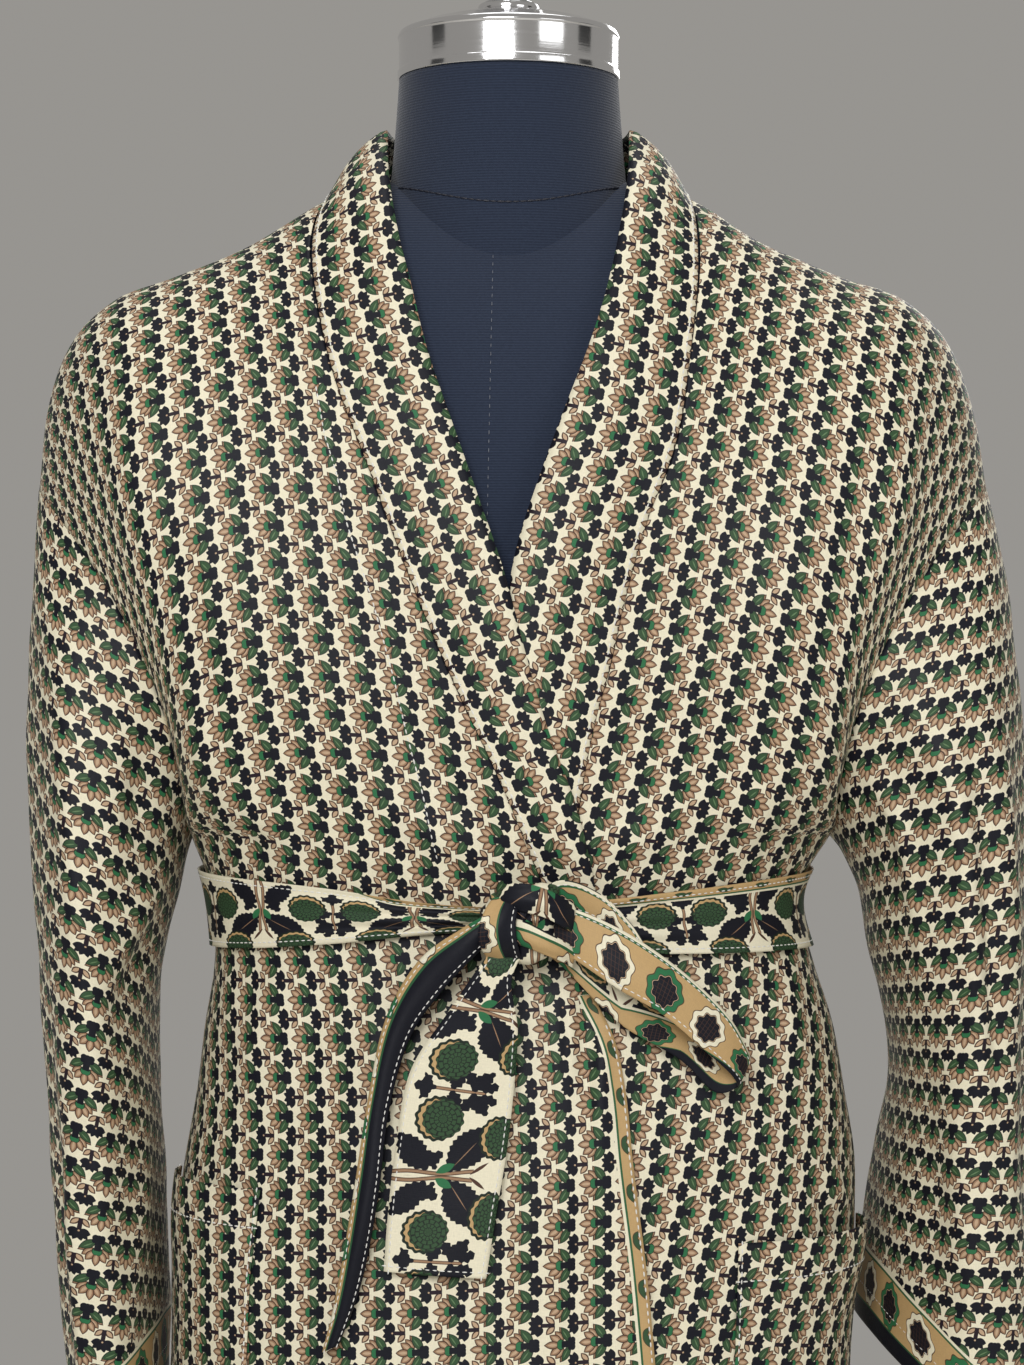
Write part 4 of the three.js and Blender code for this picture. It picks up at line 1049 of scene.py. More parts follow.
def flat_map(face):
    """Lengths across and up the smooth cloth from the middle of the underarm row."""
    p = sheet_point(ROBE, face, MAP_U[None, :], LEVELS)
    across, up = lengths(p, 1), lengths(p, 0)
    middle = len(MAP_U) // 2
    return across - across[:, middle : middle + 1], up - up[UNDERARM_ROW]


FLAT = {face: flat_map(face) for face in ("front", "back")}


def look_up(grid, i, j):
    """A grid's values at places between its points."""
    i0 = np.clip(i.astype(int), 0, grid.shape[0] - 2)
    j0 = np.clip(j.astype(int), 0, grid.shape[1] - 2)
    low = lerp(grid[i0, j0], grid[i0, j0 + 1], j - j0)
    high = lerp(grid[i0 + 1, j0], grid[i0 + 1, j0 + 1], j - j0)
    return lerp(low, high, i - i0)


def print_places(face, u, level, side, turn, shear=0.0):
    """The "print" map of a panel whose motifs point to one side and dip by an angle. Cloth pulled
    on the slant goes out of square, and shear is by how much."""
    u, level = np.broadcast_arrays(u, level)
    i = np.interp(level, LEVELS[:, 0], np.arange(len(LEVELS)))
    j = (u + 1) / 2 * (len(MAP_U) - 1)
    across, up = (look_up(grid, i, j) for grid in FLAT[face])
    places = tilted(side * across, up, turn)
    places[..., 1] -= shear * places[..., 0]
    return places


def panel_grid(face, u, level, lift=0.0):
    """Inner points of a panel and its normals, draped."""
    p = sheet_point(ROBE, face, u, level)
    normal = sheet_normal(ROBE, face, u, level)
    height = drape(p, normal) * smooth(1 - abs(u), 0, SIDE_HOLD)
    p = p + np.array([0, -SEAM / 2 if face == "front" else SEAM / 2, 0])
    return p + normal * (lift + height)[..., None], normal


def front_panel(name, node, side, edge, lifted, turn, shear):
    level = np.broadcast_to(LEVELS, (len(LEVELS), PANEL_COLUMNS))
    end = crossing(edge, LEVELS)
    u = lerp(side, end, np.linspace(0, 1, PANEL_COLUMNS)[None, :])
    lift = lap_lift(sheet_point(ROBE, "front", u, level)) if lifted else np.zeros(u.shape)
    inner, normal = panel_grid("front", u, level, lift)
    outer = inner + normal * THIN
    across = lengths(inner, 1)
    places = print_places("front", u, level, side, turn, shear)
    open_edge = inner[..., 2] < OPEN_BELOW
    distance = np.where(open_edge, across[:, -1:] - across, NO_EDGE)
    edge_uv = edge_places(distance, lengths(inner, 0))
    piece = cloth(name, inner, outer, places, edge_uv, front_cloth)
    stands_for(piece, node)
    return outer


above_belt = smooth(LEVELS, -60, -30)
RIGHT_DIP, LEFT_DIP = lerp(3, 9, above_belt), lerp(9, 13, above_belt)
right_outer = front_panel(
    "front_right_cloth", "front_right", -1, OVER_EDGE, True, RIGHT_DIP, 0.23 * above_belt
)
left_outer = front_panel(
    "front_left_cloth", "front_left", 1, UNDER_EDGE, False, LEFT_DIP, 0.09 * above_belt
)

# %% Back panel
BACK_SIDE_COLUMNS, BACK_NECK_COLUMNS = 48, 48


def back_columns():
    """u of each column, and how far up its rows go: all the way, or to the neck seam."""
    turn = np.linspace(-1, 1, BACK_NECK_COLUMNS + 1)
    neck = NECK_AT * np.sin(turn * QUARTER)
    side = np.linspace(-1, -NECK_AT, BACK_SIDE_COLUMNS, endpoint=False)
    u = np.concatenate([side, neck, -side[::-1]])
    top = np.ones_like(u)
    top[BACK_SIDE_COLUMNS : BACK_SIDE_COLUMNS + len(turn)] = 1 - NECK_DIP * np.cos(turn * QUARTER)
    return u[None, :], top[None, :]


back_u, back_top = back_columns()
back_level = np.where(LEVELS > 0, LEVELS * back_top, LEVELS)
back_inner, back_normal = panel_grid("back", np.broadcast_to(back_u, back_level.shape), back_level)
back_places = print_places("back", back_u, back_level, 1, 0)
plain_edge = edge_places(NO_EDGE, lengths(back_inner, 0))
back_outer = back_inner + back_normal * THIN
back_piece = cloth("back_cloth", back_inner, back_outer, back_places, plain_edge, robe_cloth)
stands_for(back_piece, "back")

# %% [markdown]
# ## The collar
# The collar is a folded band, twice as thick as the panels. It lies on the fronts and stands up round
# the neck. Its grid goes from the seam to the rolled edge, row by row, up the right front, round the
# nape and down the left. A slight crown between seam and roll keeps it from looking pressed.

# %% Collar rows
BAND_COLUMNS = 15
SEAM_ROWS = np.concatenate([np.linspace(-120, 0, 30, endpoint=False), np.linspace(0, 1, 110)])
SHARES = np.linspace(0, 1, BAND_COLUMNS)


def band_across(seam, roll, stand):
    """Straight rows across the collar, from just off the seam to the roll."""
    gap = (SEAM + 0.1 + STAND_GAP * stand) / np.linalg.norm(seam - roll, axis=-1)
    share = lerp(gap[:, None], 1, SHARES[None, :])
    return lerp(seam[:, None], roll[:, None], share[..., None]), share


def side_collar(edge, rolls, lifted):
    u = crossing(edge, SEAM_ROWS)
    seam = sheet_point(ROBE, "front", u, SEAM_ROWS)
    seam = seam[seam[:, 2] >= rolls["z"][0] - 1]
    x, y, up, stand = (curve(rolls, "z", name, seam[:, 2]) for name in ("x", "y", "up", "stand"))
    stand = np.clip(stand, 0, 1)
    y = np.where(stand == 0, seam[:, 1], y)
    straight, share = band_across(seam, np.stack([x, y, up], -1), stand)
    spot = locate(straight[..., 0], np.minimum(straight[..., 2], rolls["z"][-1]))
    lying = sheet_point(ROBE, "front", *spot)
    normal = sheet_normal(ROBE, "front", *spot)
    lift = lap_lift(lying) if lifted else np.zeros(share.shape)
    lift = lift + drape(lying, normal) * (1 - stand[:, None])
    free = (stand[:, None] * share)[..., None]
    points = np.where(stand[:, None, None] == 1, straight, lerp(lying, straight, free))
    return points, lift


def nape_collar():
    turn = np.linspace(-1, 1, 50)[1:-1]
    s, c = np.sin(turn * QUARTER), np.cos(turn * QUARTER)
    seam = sheet_point(ROBE, "back", NECK_AT * s, 1 - NECK_DIP * c)
    depth = NAPE_FRONT + (NAPE_BACK - NAPE_FRONT) * c
    roll = np.stack([NAPE_SIDE * s, depth, lerp(NAPE_HIGH, NAPE_UP, c)], -1)
    points, share = band_across(seam, roll, np.ones(len(turn)))
    return points, np.zeros(share.shape)


over_band, over_lift = side_collar(OVER_EDGE, OVER_ROLL, True)
under_band, under_lift = side_collar(UNDER_EDGE, UNDER_ROLL, False)
nape_band, nape_lift = nape_collar()
band = np.concatenate([over_band, nape_band, under_band[::-1]])
band_lift = np.concatenate([over_lift, nape_lift, under_lift[::-1]])
print("collar grid", band.shape)

# %% Collar piece
ROLL_THICK, SEAM_THICK = 2.6, 1.4
LINE_EASINGS, LIFT_EASINGS = 6, 4


def smoothed(grid, times):
    """The grid with its rows eased along the band, its ends kept."""
    for _ in range(times):
        grid = grid.copy()
        grid[1:-1] = (grid[:-2] + 2 * grid[1:-1] + grid[2:]) / 4
    return grid


band = smoothed(band, LINE_EASINGS)
band_lift = smoothed(band_lift, LIFT_EASINGS)
facing = np.stack([band[..., 0], band[..., 1] * 1.5 - 1, np.full(band.shape[:2], 60)], -1)
band_normal = grid_normals(band, facing)
standing = smooth(band[..., 2], 1400, 1450)
crown = np.sin(math.pi * SHARES)[None, :] * (COLLAR_BULGE * standing + 0.9)
band_inner = band + band_normal * (band_lift + crown * 0.6)[..., None]
thick = lerp(SEAM_THICK, ROLL_THICK, smooth(SHARES, 0, 0.8)) * np.sqrt(
    np.clip(1 - ((SHARES - 0.9) / 0.11).clip(0, 1) ** 2, 0.12, 1)
)
band_outer = band_inner + band_normal * (thick[None, :] + crown * 0.4)[..., None]
band_run = np.broadcast_to(lengths(band_inner, 0)[:, 7:8], band.shape[:2])
COLLAR_CUT = 14.5  # where in the small repeat the collar's seam falls
band_places = tilted(lengths(band_inner, 1) + COLLAR_CUT, band_run, 0)
band_edge = edge_places(NO_EDGE, lengths(band_inner, 0))
collar = cloth("collar_cloth", band_inner, band_outer, band_places, band_edge, robe_cloth)
stands_for(collar, "collar")

# %% [markdown]
# ## Sleeves
# A sleeve is a tube that starts at the armhole and hangs. Its rows run from the armhole's rim through
# a table of sections to the cuff. Only cloth that is lifted at the elbow falls in cross folds, so the
# creases here are mostly long and steep, with a few short ones where the sleeve leaves the armhole.

# %% Sleeve tables
SECTION = "xo yo zo xi yi zi xf yf xb yb"
RIGHT_SLEEVE = columns(
    SECTION,
    (273.5, 0, 1243, 188, 0, 1068, 223, -84, 222, 82),
    (274, 0, 1190, 193, 0, 1045, 229, -90, 228, 86),
    (273, 0, 1120, 200, 0, 1018, 233, -93, 231, 88),
    (270, -5, 1045, 205, 5, 985, 234, -93, 230, 86),
    (266, -10, 965, 204, 10, 930, 232, -91, 228, 84),
    (261, -15, 890, 202, 15, 870, 229, -89, 224, 82),
    (255, -20, 815, 200.5, 20, 822, 225, -87, 220, 80),
    (250, -20, 762, 200, 20, 790, 222, -86, 218, 78),
    (247, -20, 715, 200, 20, 762, 220, -85, 216, 78),
)
LEFT_SLEEVE = columns(
    SECTION,
    (285, 0, 1243, 195, 0, 1070, 232, -85, 230, 82),
    (291, 0, 1190, 204, 0, 1048, 245, -91, 238, 85),
    (295, 0, 1120, 209, 0, 1018, 253, -94, 243, 86),
    (297, -5, 1045, 218, 5, 985, 258, -94, 246, 84),
    (299, -10, 965, 224, 20, 942, 262, -92, 247, 80),
    (300, -15, 890, 217, 32, 895, 265, -90, 240, 78),
    (301, -20, 815, 210, 42, 852, 268, -88, 233, 76),
    (301, -25, 760, 206, 46, 824, 269, -87, 229, 75),
    (300, -28, 712, 204, 48, 800, 269, -86, 227, 75),
)
# Creases of the sleeves: turn is in degrees from the inner edge by the front, z the height.
RIGHT_SLEEVE_CREASES = columns(
    CREASE,
    (118, 1010, 122, 730, 6, 10, 3.2, 0.6),
    (132, 1060, 140, 740, -4, 11, -3.0, 0.6),
    (116, 1235, 50, 1070, 5, 9, -3.6, 0.6),
    (104, 1236, 40, 1090, 5, 8, 3.4, 0.6),
    (130, 1215, 92, 960, 6, 10, 2.8, 0.5),
    (60, 1180, 30, 1040, 8, 14, 3.0, 0.5),
    (84, 1210, 52, 1060, 6, 12, -2.6, 0.5),
    (100, 1190, 66, 1080, 4, 10, 2.4, 0.5),
    (24, 1060, 70, 990, -6, 12, 3.0, 0.3),
    (16, 1030, 74, 950, -6, 12, -2.8, 0.3),
    (30, 960, 60, 800, 5, 12, 2.4, 0.5),
    (170, 1220, 160, 980, 5, 14, 2.8, 0.4),
    (200, 1180, 196, 900, -5, 14, -2.8, 0.5),
    (250, 1180, 262, 880, 6, 15, 3.0, 0.5),
    (300, 1160, 292, 900, -6, 15, -2.8, 0.5),
    (230, 960, 226, 740, 4, 12, 2.8, 0.6),
)
LEFT_SLEEVE_CREASES = columns(
    CREASE,
    (68, 1240, 52, 960, 3, 5, 3.4, 0.45),
    (96, 1230, 92, 860, 5, 9, 3.2, 0.4),
    (108, 1220, 106, 820, 4, 8, -3.0, 0.4),
    (122, 1200, 120, 900, -3, 9, 3.0, 0.5),
    (64, 1200, 40, 1080, 6, 12, 3.0, 0.5),
    (76, 1210, 56, 1100, 5, 10, -2.6, 0.5),
    (140, 1020, 146, 780, 4, 12, -3.0, 0.5),
    (62, 1000, 78, 760, -5, 12, 3.0, 0.6),
    (40, 980, 60, 800, -5, 12, -2.4, 0.6),
    (170, 1220, 176, 900, 5, 14, 2.8, 0.5),
    (210, 1180, 216, 860, -5, 15, -3.0, 0.5),
    (256, 1180, 250, 860, 6, 15, 3.0, 0.5),
    (300, 1150, 310, 900, -6, 15, -2.6, 0.5),
)
print("sections in a sleeve:", len(RIGHT_SLEEVE["xo"]))

# %% Sleeve builder
SLEEVE_COLUMNS, SLEEVE_ROWS = 128, 150
SLEEVE_SEAM = 0.35
ARM_WAY = (0.92, -0.39)  # outwards and up, the way in which a sleeve leaves the body
DEEPEST = -5.5  # the furthest that a sleeve's crease may go in
SLEEVE_DIP = 9  # degrees by which the motifs on a sleeve turn outwards from straight down
OVERARM = (150, 210)  # the front's print passes into the back's between these turns
SLEEVE_SLOPE = {"top": 0.36, "cuff": 0.06}  # how far the rows of motifs sink towards the body
SLEEVE_MIDDLE = {"sleeve_right": 235, "sleeve_left": 250}  # x of the print's straight line


def rim_points(side, turn):
    """The armhole's rim at turns counted from the underarm up the front."""
    face_front = np.sin(turn) >= 0
    foot = sheet_point(ROBE, "front", side, 0.0)[2]
    top = sheet_point(ROBE, "front", side, 1.0)[2]
    want = foot + (1 - np.cos(turn)) / 2 * (top - foot)
    zero, one = np.zeros_like(turn), np.ones_like(turn)
    level = halve(zero, one, 40, lambda up: sheet_point(ROBE, "front", side, up)[..., 2] < want)
    front = sheet_point(ROBE, "front", side, level) - np.array([0, SEAM / 2, 0])
    back = sheet_point(ROBE, "back", side, level) + np.array([0, SEAM / 2, 0])
    return np.where(face_front[:, None], front, back)


def section_points(side, sections, k, turn):
    inwards, sideways = np.cos(turn), np.sin(turn)
    read = {name: values[k] for name, values in sections.items()}
    end_x = np.where(inwards > 0, read["xi"], read["xo"])
    end_y = np.where(inwards > 0, read["yi"], read["yo"])
    face_x = np.where(sideways > 0, read["xf"], read["xb"])
    face_y = np.where(sideways > 0, read["yf"], read["yb"])
    x = lerp(face_x, end_x, abs(inwards))
    y = lerp(end_y, face_y, abs(sideways))
    share = (x - read["xi"]) / (read["xo"] - read["xi"])
    return np.stack([side * x, y, lerp(read["zi"], read["zo"], share)], -1)


def along_knots(knots, at):
    """Points on smooth curves through a stack of rings, at places 0 to 1 along them."""
    gap = np.linalg.norm(np.diff(knots, axis=0), axis=-1).mean(1)
    stops = np.concatenate([[0], np.cumsum(gap)])
    flat = knots.reshape(len(knots), -1)
    table = {"stop": stops}
    table.update({str(n): flat[:, n] for n in range(flat.shape[1])})
    made = [curve(table, "stop", str(n), at * stops[-1]) for n in range(flat.shape[1])]
    return np.stack(made, -1).reshape(len(at), *knots.shape[1:])


def sleeve(name, node, side, sections, creases):
    turn = np.linspace(0, math.tau, SLEEVE_COLUMNS, endpoint=False)
    away = np.array([ARM_WAY[0] * side, 0, ARM_WAY[1]]) * SLEEVE_SEAM
    rings = [rim_points(side, turn) + away]
    rings += [section_points(side, sections, k, turn) for k in range(len(sections["xo"]))]
    grid = along_knots(np.stack(rings), np.linspace(0, 1, SLEEVE_ROWS))
    middle = grid.mean(1, keepdims=True)
    normal = grid_normals(grid, grid - middle, closed=True)
    degrees = np.degrees(turn)[None, :]
    height = crease_height(creases, np.broadcast_to(degrees, grid.shape[:2]), grid[..., 2])
    run = lengths(grid, 0)
    height = (height + ripple(grid, 2.2, 5)) * smooth(run, 2, 45)
    inner = grid + normal * np.maximum(height, DEEPEST)[..., None]
    level_step = np.linalg.norm(np.diff(grid[..., :2], axis=1, append=grid[:, :1, :2]), axis=-1)
    around = np.cumsum(np.concatenate([np.zeros((len(grid), 1)), level_step], 1), axis=1)
    whole = np.concatenate([inner, inner[:, :1]], 1)
    half = SLEEVE_COLUMNS // 2
    lines = []
    for columns_of in (slice(0, half + 1), slice(None, half - 1, -1)):
        rows = zip(abs(whole[:, columns_of, 0]), around[:, columns_of])
        lines.append([[np.interp(SLEEVE_MIDDLE[node], x, run_at)] for x, run_at in rows])
    front_line, back_line = np.array(lines)
    behind = smooth(np.degrees(np.append(turn, math.tau)), *OVERARM)
    over = (back_line - front_line).mean()
    across = lerp(around - front_line, around - back_line + over, behind)
    outwards = lerp(around - front_line, back_line - around, behind)
    slope = lerp(SLEEVE_SLOPE["cuff"], SLEEVE_SLOPE["top"], smooth(whole[..., 2], 800, 1100))
    down = UNDERARM - whole[..., 2] + slope * outwards
    places = tilted(down, across * side, SLEEVE_DIP)
    hem = np.concatenate([run[-1:] - run, (run[-1:] - run)[:, :1]], 1)
    edge_uv = np.stack([around, hem], -1) * MM
    outer = inner + normal * THIN
    piece = cloth(name, inner, outer, places, edge_uv, cuff_cloth, closed=True)
    stands_for(piece, node)
    return outer


sleeve_right_outer = sleeve(
    "sleeve_right_cloth", "sleeve_right", -1, RIGHT_SLEEVE, RIGHT_SLEEVE_CREASES
)
sleeve_left_outer = sleeve(
    "sleeve_left_cloth", "sleeve_left", 1, LEFT_SLEEVE, LEFT_SLEEVE_CREASES
)

# %% [markdown]
# ## Patch pockets
# A patch pocket is a rectangle sewn on three sides, with a turned hem at its mouth. It copies the
# front's own surface, moved out by the thickness of the cloth under it. The mouth stands a little
# open, most of all near the side seam, where the hand goes in.

# %% Pockets
POCKET_DEPTH, POCKET_ROWS, POCKET_COLUMNS = 190, 64, 44
POCKET_LIFT, POCKET_MOUTH = 1.7, 60  # off the front's inner face; how far down the mouth gapes
POCKETS = {
    "pocket_right": {"inner": -0.62, "side": -0.985, "top": 889, "turn": 2, "gape": 4.5},
    "pocket_left": {"inner": 0.53, "side": 0.985, "top": 862, "turn": 10, "gape": 8.0},
}
PRINT_SHIFT = {"pocket_right": 0.007, "pocket_left": 0.011}  # metres, as the pockets aren't matched
pocket_outers = {}
for node, pocket in POCKETS.items():
    level = np.linspace(pocket["top"] - POCKET_DEPTH, pocket["top"], POCKET_ROWS)[:, None] - UNDERARM
    across = np.linspace(pocket["side"], pocket["inner"], POCKET_COLUMNS)[None, :]
    u, level = np.broadcast_arrays(across, level)
    mouth = smooth(level, pocket["top"] - UNDERARM - POCKET_MOUTH, pocket["top"] - UNDERARM)
    share = np.linspace(0, 1, POCKET_COLUMNS)[None, :]
    gape = pocket["gape"] * mouth * np.sin(math.pi * share**0.7)
    inner, normal = panel_grid("front", u, level, POCKET_LIFT + gape)
    places = print_places("front", u, level, np.sign(pocket["inner"]), pocket["turn"])
    places = places + PRINT_SHIFT[node]
    edge_uv = edge_places(NO_EDGE, lengths(inner, 0))
    pocket_outers[node] = inner + normal * THIN
    piece = cloth(node + "_cloth", inner, pocket_outers[node], places, edge_uv, robe_cloth)
    stands_for(piece, node)

# %% [markdown]
# ## Belt, knot and bow
# The belt is one long band of border cloth. Round the waist it is nearly flat, and it gathers into
# narrow folds as it runs into the knot. Each loose length is a table of lines across it, from edge to
# edge, with how far it hangs in front of the robe.

# %% Belt round the waist
BELT_ROWS = columns(
    "around top bottom out",
    (-3.96, 1050, 1028, 7.8),
    (-3.75, 1050, 1022, 6.8),
    (-3.5, 1055, 1020, 4.8),
    (-3.25, 1060, 1019, 3.4),
    (-3, 1062, 1018, 3),
    (-2, 1064, 1016, 3),
    (-1, 1062, 1018, 3),
    (-0.75, 1060, 1020, 3.4),
    (-0.5, 1056, 1025, 4.8),
    (-0.25, 1049, 1031, 6.8),
    (-0.01, 1046, 1034, 7.8),
)
BELT_STEPS, BELT_COLUMNS, BELT_THICK, BELT_WIDTH = 560, 28, 1.2, 56
around = np.linspace(BELT_ROWS["around"][0], BELT_ROWS["around"][-1], BELT_STEPS)[:, None]
share = np.linspace(0, 1, BELT_COLUMNS)[None, :]
low, high, out = (curve(BELT_ROWS, "around", name, around) for name in ("bottom", "top", "out"))
p = ring_point(ROBE, lerp(low, high, share), np.broadcast_to(around, (BELT_STEPS, BELT_COLUMNS)))
normal = unit(p * np.array([1, 1.6, 0]))
gathered = smooth(abs(around + 1.985), 1.15, 1.9)
pleats = np.sin(share * math.tau * 3.1 + 1.3 * around) * 1.5 + np.sin(share * 13 - 2.1 * around) * 0.8
pleats = pleats * gathered
slack = np.sin(share * math.pi) * 1.0 + 0.5 * np.sin(around * 7 + share * 2)
belt_inner = p + normal * (out + 0.2 + pleats + slack)[..., None]
belt_outer = belt_inner + normal * BELT_THICK
run = lengths(belt_inner, 0).mean(1, keepdims=True)
belt_places = edge_places(run, lerp(BELT_WIDTH, 0, share))
rolled_under = 14 * smooth(around, -1.4, -1.0) * smooth(-around, 0.3, 0.5)
belt_edge = edge_places(lerp(BELT_WIDTH, 0, share) + rolled_under, run)
waist = cloth("belt_waist_cloth", belt_inner, belt_outer, belt_places, belt_edge, belt_cloth)
stands_for(waist, "belt_waist")

# %% Loose lengths of the belt
LENGTH = "ax az bx bz out"
LOOP = columns(
    LENGTH,
    (14, 1046, 14, 1028, 22),
    (30, 1048, 30, 1023, 24),
    (61, 1035, 59, 1004, 28),
    (93, 1013, 83, 990, 30),
    (118, 989, 105, 971, 28),
    (129, 970, 121, 956, 23),
    (131, 962, 124, 948, 16.5),
    (121, 968, 112, 946, 11.5),
    (100, 988, 93, 964, 10.5),
    (66, 1012, 60, 984, 11.5),
    (34, 1034, 30, 1014, 13),
    (16, 1040, 14, 1026, 15),
)
BACK_BAND = columns(
    LENGTH,
    (12, 1054, 16, 1042, 17.5),
    (30, 1062, 34, 1044, 17),
    (50, 1054, 50, 1038, 15.5),
    (66, 1038, 62, 1026, 16),
    (73, 1028, 67, 1018, 18),
)
WIDE_TAIL = columns(
    LENGTH,
    (-1, 1034, 14, 1032, 25),
    (-14, 1018, 2, 1010, 27),
    (-33, 990, 5, 982, 20),
    (-53, 958, 3, 950, 14),
    (-61, 916, -1, 915, 11),
    (-65, 880, -7, 880, 11),
    (-67, 851, -12, 848, 12),
)
NARROW_TAIL = columns(
    LENGTH,
    (-2, 1048, -2, 1038, 24),
    (-24, 1036, -20, 1020, 25),
    (-48, 1018, -38, 1000, 20),
    (-66, 986, -54, 976, 16),
    (-75, 945, -65, 938, 15),
    (-82, 900, -70, 898, 15),
    (-88, 862, -76, 862, 15),
    (-94, 830, -82, 838, 14),
    (-100, 806, -92, 812, 13),
)


def same_side(normal):
    """Normals that keep to one side of a length that turns back on itself."""
    middle = normal.shape[1] // 2
    for i in range(1, len(normal)):
        if np.dot(normal[i, middle], normal[i - 1, middle]) < 0:
            normal[i] = -normal[i]
    return normal


def read_lines(table, steps):
    """Every column of a table of lines, read at even steps from its first row to its last."""
    rows = np.arange(len(table["ax"]), dtype=float)
    at = np.linspace(0, rows[-1], steps)[:, None]
    return at, {label: curve({**table, "at": rows}, "at", label, at) for label in table}


def belt_length(name, node, table, steps, cup, across_from, across_to, material):
    """A loose length. cup bends it across; across_from and across_to are its print's edges."""
    at, read = read_lines(table, steps)
    share = np.linspace(0, 1, 22)[None, :]
    x = lerp(read["ax"], read["bx"], share)
    z = lerp(read["az"], read["bz"], share)
    y = front_y(x, z) - read["out"]
    y = y - cup * (np.sin(math.pi * share) - 0.5) - 0.5 * np.sin(at * 2.1 + share * 4)
    grid = np.stack([x, y, z], -1)
    normal = unit(np.cross(np.gradient(grid, axis=1), np.gradient(grid, axis=0)))
    normal = same_side(normal if normal[0, :, 1].sum() < 0 else -normal)
    outer = grid + normal
    run = lengths(grid, 0).mean(1, keepdims=True)
    start, end = (np.interp(at, *zip(*stops)) for stops in (across_from, across_to))
    places = edge_places(run, lerp(start, end, share))
    stands_for(cloth(name, grid, outer, places, places, material), node)
    return outer


tail_cloth = cloth_material("tail cloth", belt_tree)
loop_outer = belt_length(
    "bow_loop", "belt_loop", LOOP, 200, 2.2,
    ((0, 42), (6, 42), (8, 62), (11, 70)),
    ((0, 14), (4, 12), (6, -1), (8, 0), (9, 30), (11, 40)),
    bow_cloth,
)
band_back_outer = belt_length(
    "bow_band_behind", "belt_loop_back", BACK_BAND, 60, 1.2,
    ((0, 43), (4, 43)), ((0, 24), (4, 24)), bow_cloth,
)
wide_outer = belt_length(
    "wide_tail", "belt_tail_wide", WIDE_TAIL, 130, 1.6,
    ((0, 14), (2, 8), (3, 1), (6, 1)), ((0, 30), (2, 46), (3, 57), (6, 57)), tail_cloth,
)
narrow_outer = belt_length(
    "narrow_tail", "belt_tail_narrow", NARROW_TAIL, 150, 4.0,
    ((0, 15), (8, 15)), ((0, -2), (5, 1), (8, 2)), bow_cloth,
)

# %% [markdown]
# ## The knot
# The knot is the belt crossed over itself: a rounded lump with one band wrapped round it. The lump
# has soft grooves that run to where the lengths leave it, and the band is a strip bent over its front.

# %% Knot
KNOT = {"x": 8, "z": 1040, "out": 21.1, "half": (20, 12.5, 20)}
knot_y = float(front_y(KNOT["x"], KNOT["z"])) - KNOT["out"]
rows, around_count = 60, 96
polar_turn = np.linspace(0.02, math.pi - 0.02, rows)[:, None]
round_turn = np.linspace(0, math.tau, around_count, endpoint=False)[None, :]
unit_y = -np.cos(polar_turn) + 0 * round_turn
unit_x = np.sin(polar_turn) * np.cos(round_turn)
unit_z = np.sin(polar_turn) * np.sin(round_turn)


def rounded(value, power=0.8):
    return np.sign(value) * abs(value) ** power


waist_in = 1 - 0.16 * np.cos(3 * round_turn + 0.6)
groove = 1 + 0.05 * np.sin(5 * round_turn + 2.2 * polar_turn) + 0.03 * np.sin(11 * round_turn)
knot_grid = np.stack(
    [
        KNOT["x"] + rounded(unit_x) * KNOT["half"][0] * waist_in * groove,
        knot_y + rounded(unit_y) * KNOT["half"][1] * np.where(unit_y > 0, 0.9, 1) * groove,
        KNOT["z"] + rounded(unit_z) * KNOT["half"][2] * waist_in * groove,
    ],
    -1,
)
knot_normal = grid_normals(knot_grid, knot_grid - knot_grid.mean((0, 1)), closed=True)
knot_ring = np.concatenate([knot_grid, knot_grid[:, :1]], 1)
KNOT_PRINT = (38, 30)  # the place on the belt's print that the middle of the knot shows
knot_spot = knot_ring[..., [0, 2]] - np.array([KNOT["x"], KNOT["z"]])
knot_places = (knot_spot * 1.3 + np.array(KNOT_PRINT)) * MM
knot_inner = knot_grid - knot_normal
knot = cloth("knot_cloth", knot_inner, knot_grid, knot_places, knot_places, tail_cloth, closed=True)
stands_for(knot, "belt_knot")

# %% Bands round the knot
BAND_ROWS = "ax az bx bz fore"
WRAPS = {
    "knot_band": (
        columns(
            BAND_ROWS,
            (-2, 1056, 12, 1058, -4),
            (-8, 1052, 8, 1054, 7),
            (-13, 1045, 5, 1047, 13),
            (-16, 1036, 4, 1038, 15.5),
            (-15, 1028, 5, 1029, 14),
            (-11, 1021, 7, 1021, 6),
            (-7, 1017, 8, 1018, -3),
        ),
        (24, -1),
        bow_cloth,
    ),
    "knot_top_fold": (
        columns(
            BAND_ROWS,
            (-8, 1050, -9, 1040, 2),
            (-1, 1059, -3, 1047, 9),
            (9, 1061, 8, 1046, 13.5),
            (20, 1058, 19, 1043, 13.5),
            (29, 1053, 28, 1038, 9),
            (36, 1048, 34, 1034, 2),
        ),
        (28, 44),
        tail_cloth,
    ),
    "knot_lower_fold": (
        columns(
            BAND_ROWS,
            (2, 1042, 2, 1030, 10),
            (10, 1040, 11, 1027, 14),
            (20, 1035, 20, 1023, 14),
            (29, 1030, 28, 1019, 9),
            (36, 1025, 34, 1015, 1),
        ),
        (43, 33),
        bow_cloth,
    ),
}
wrap_outers = {}
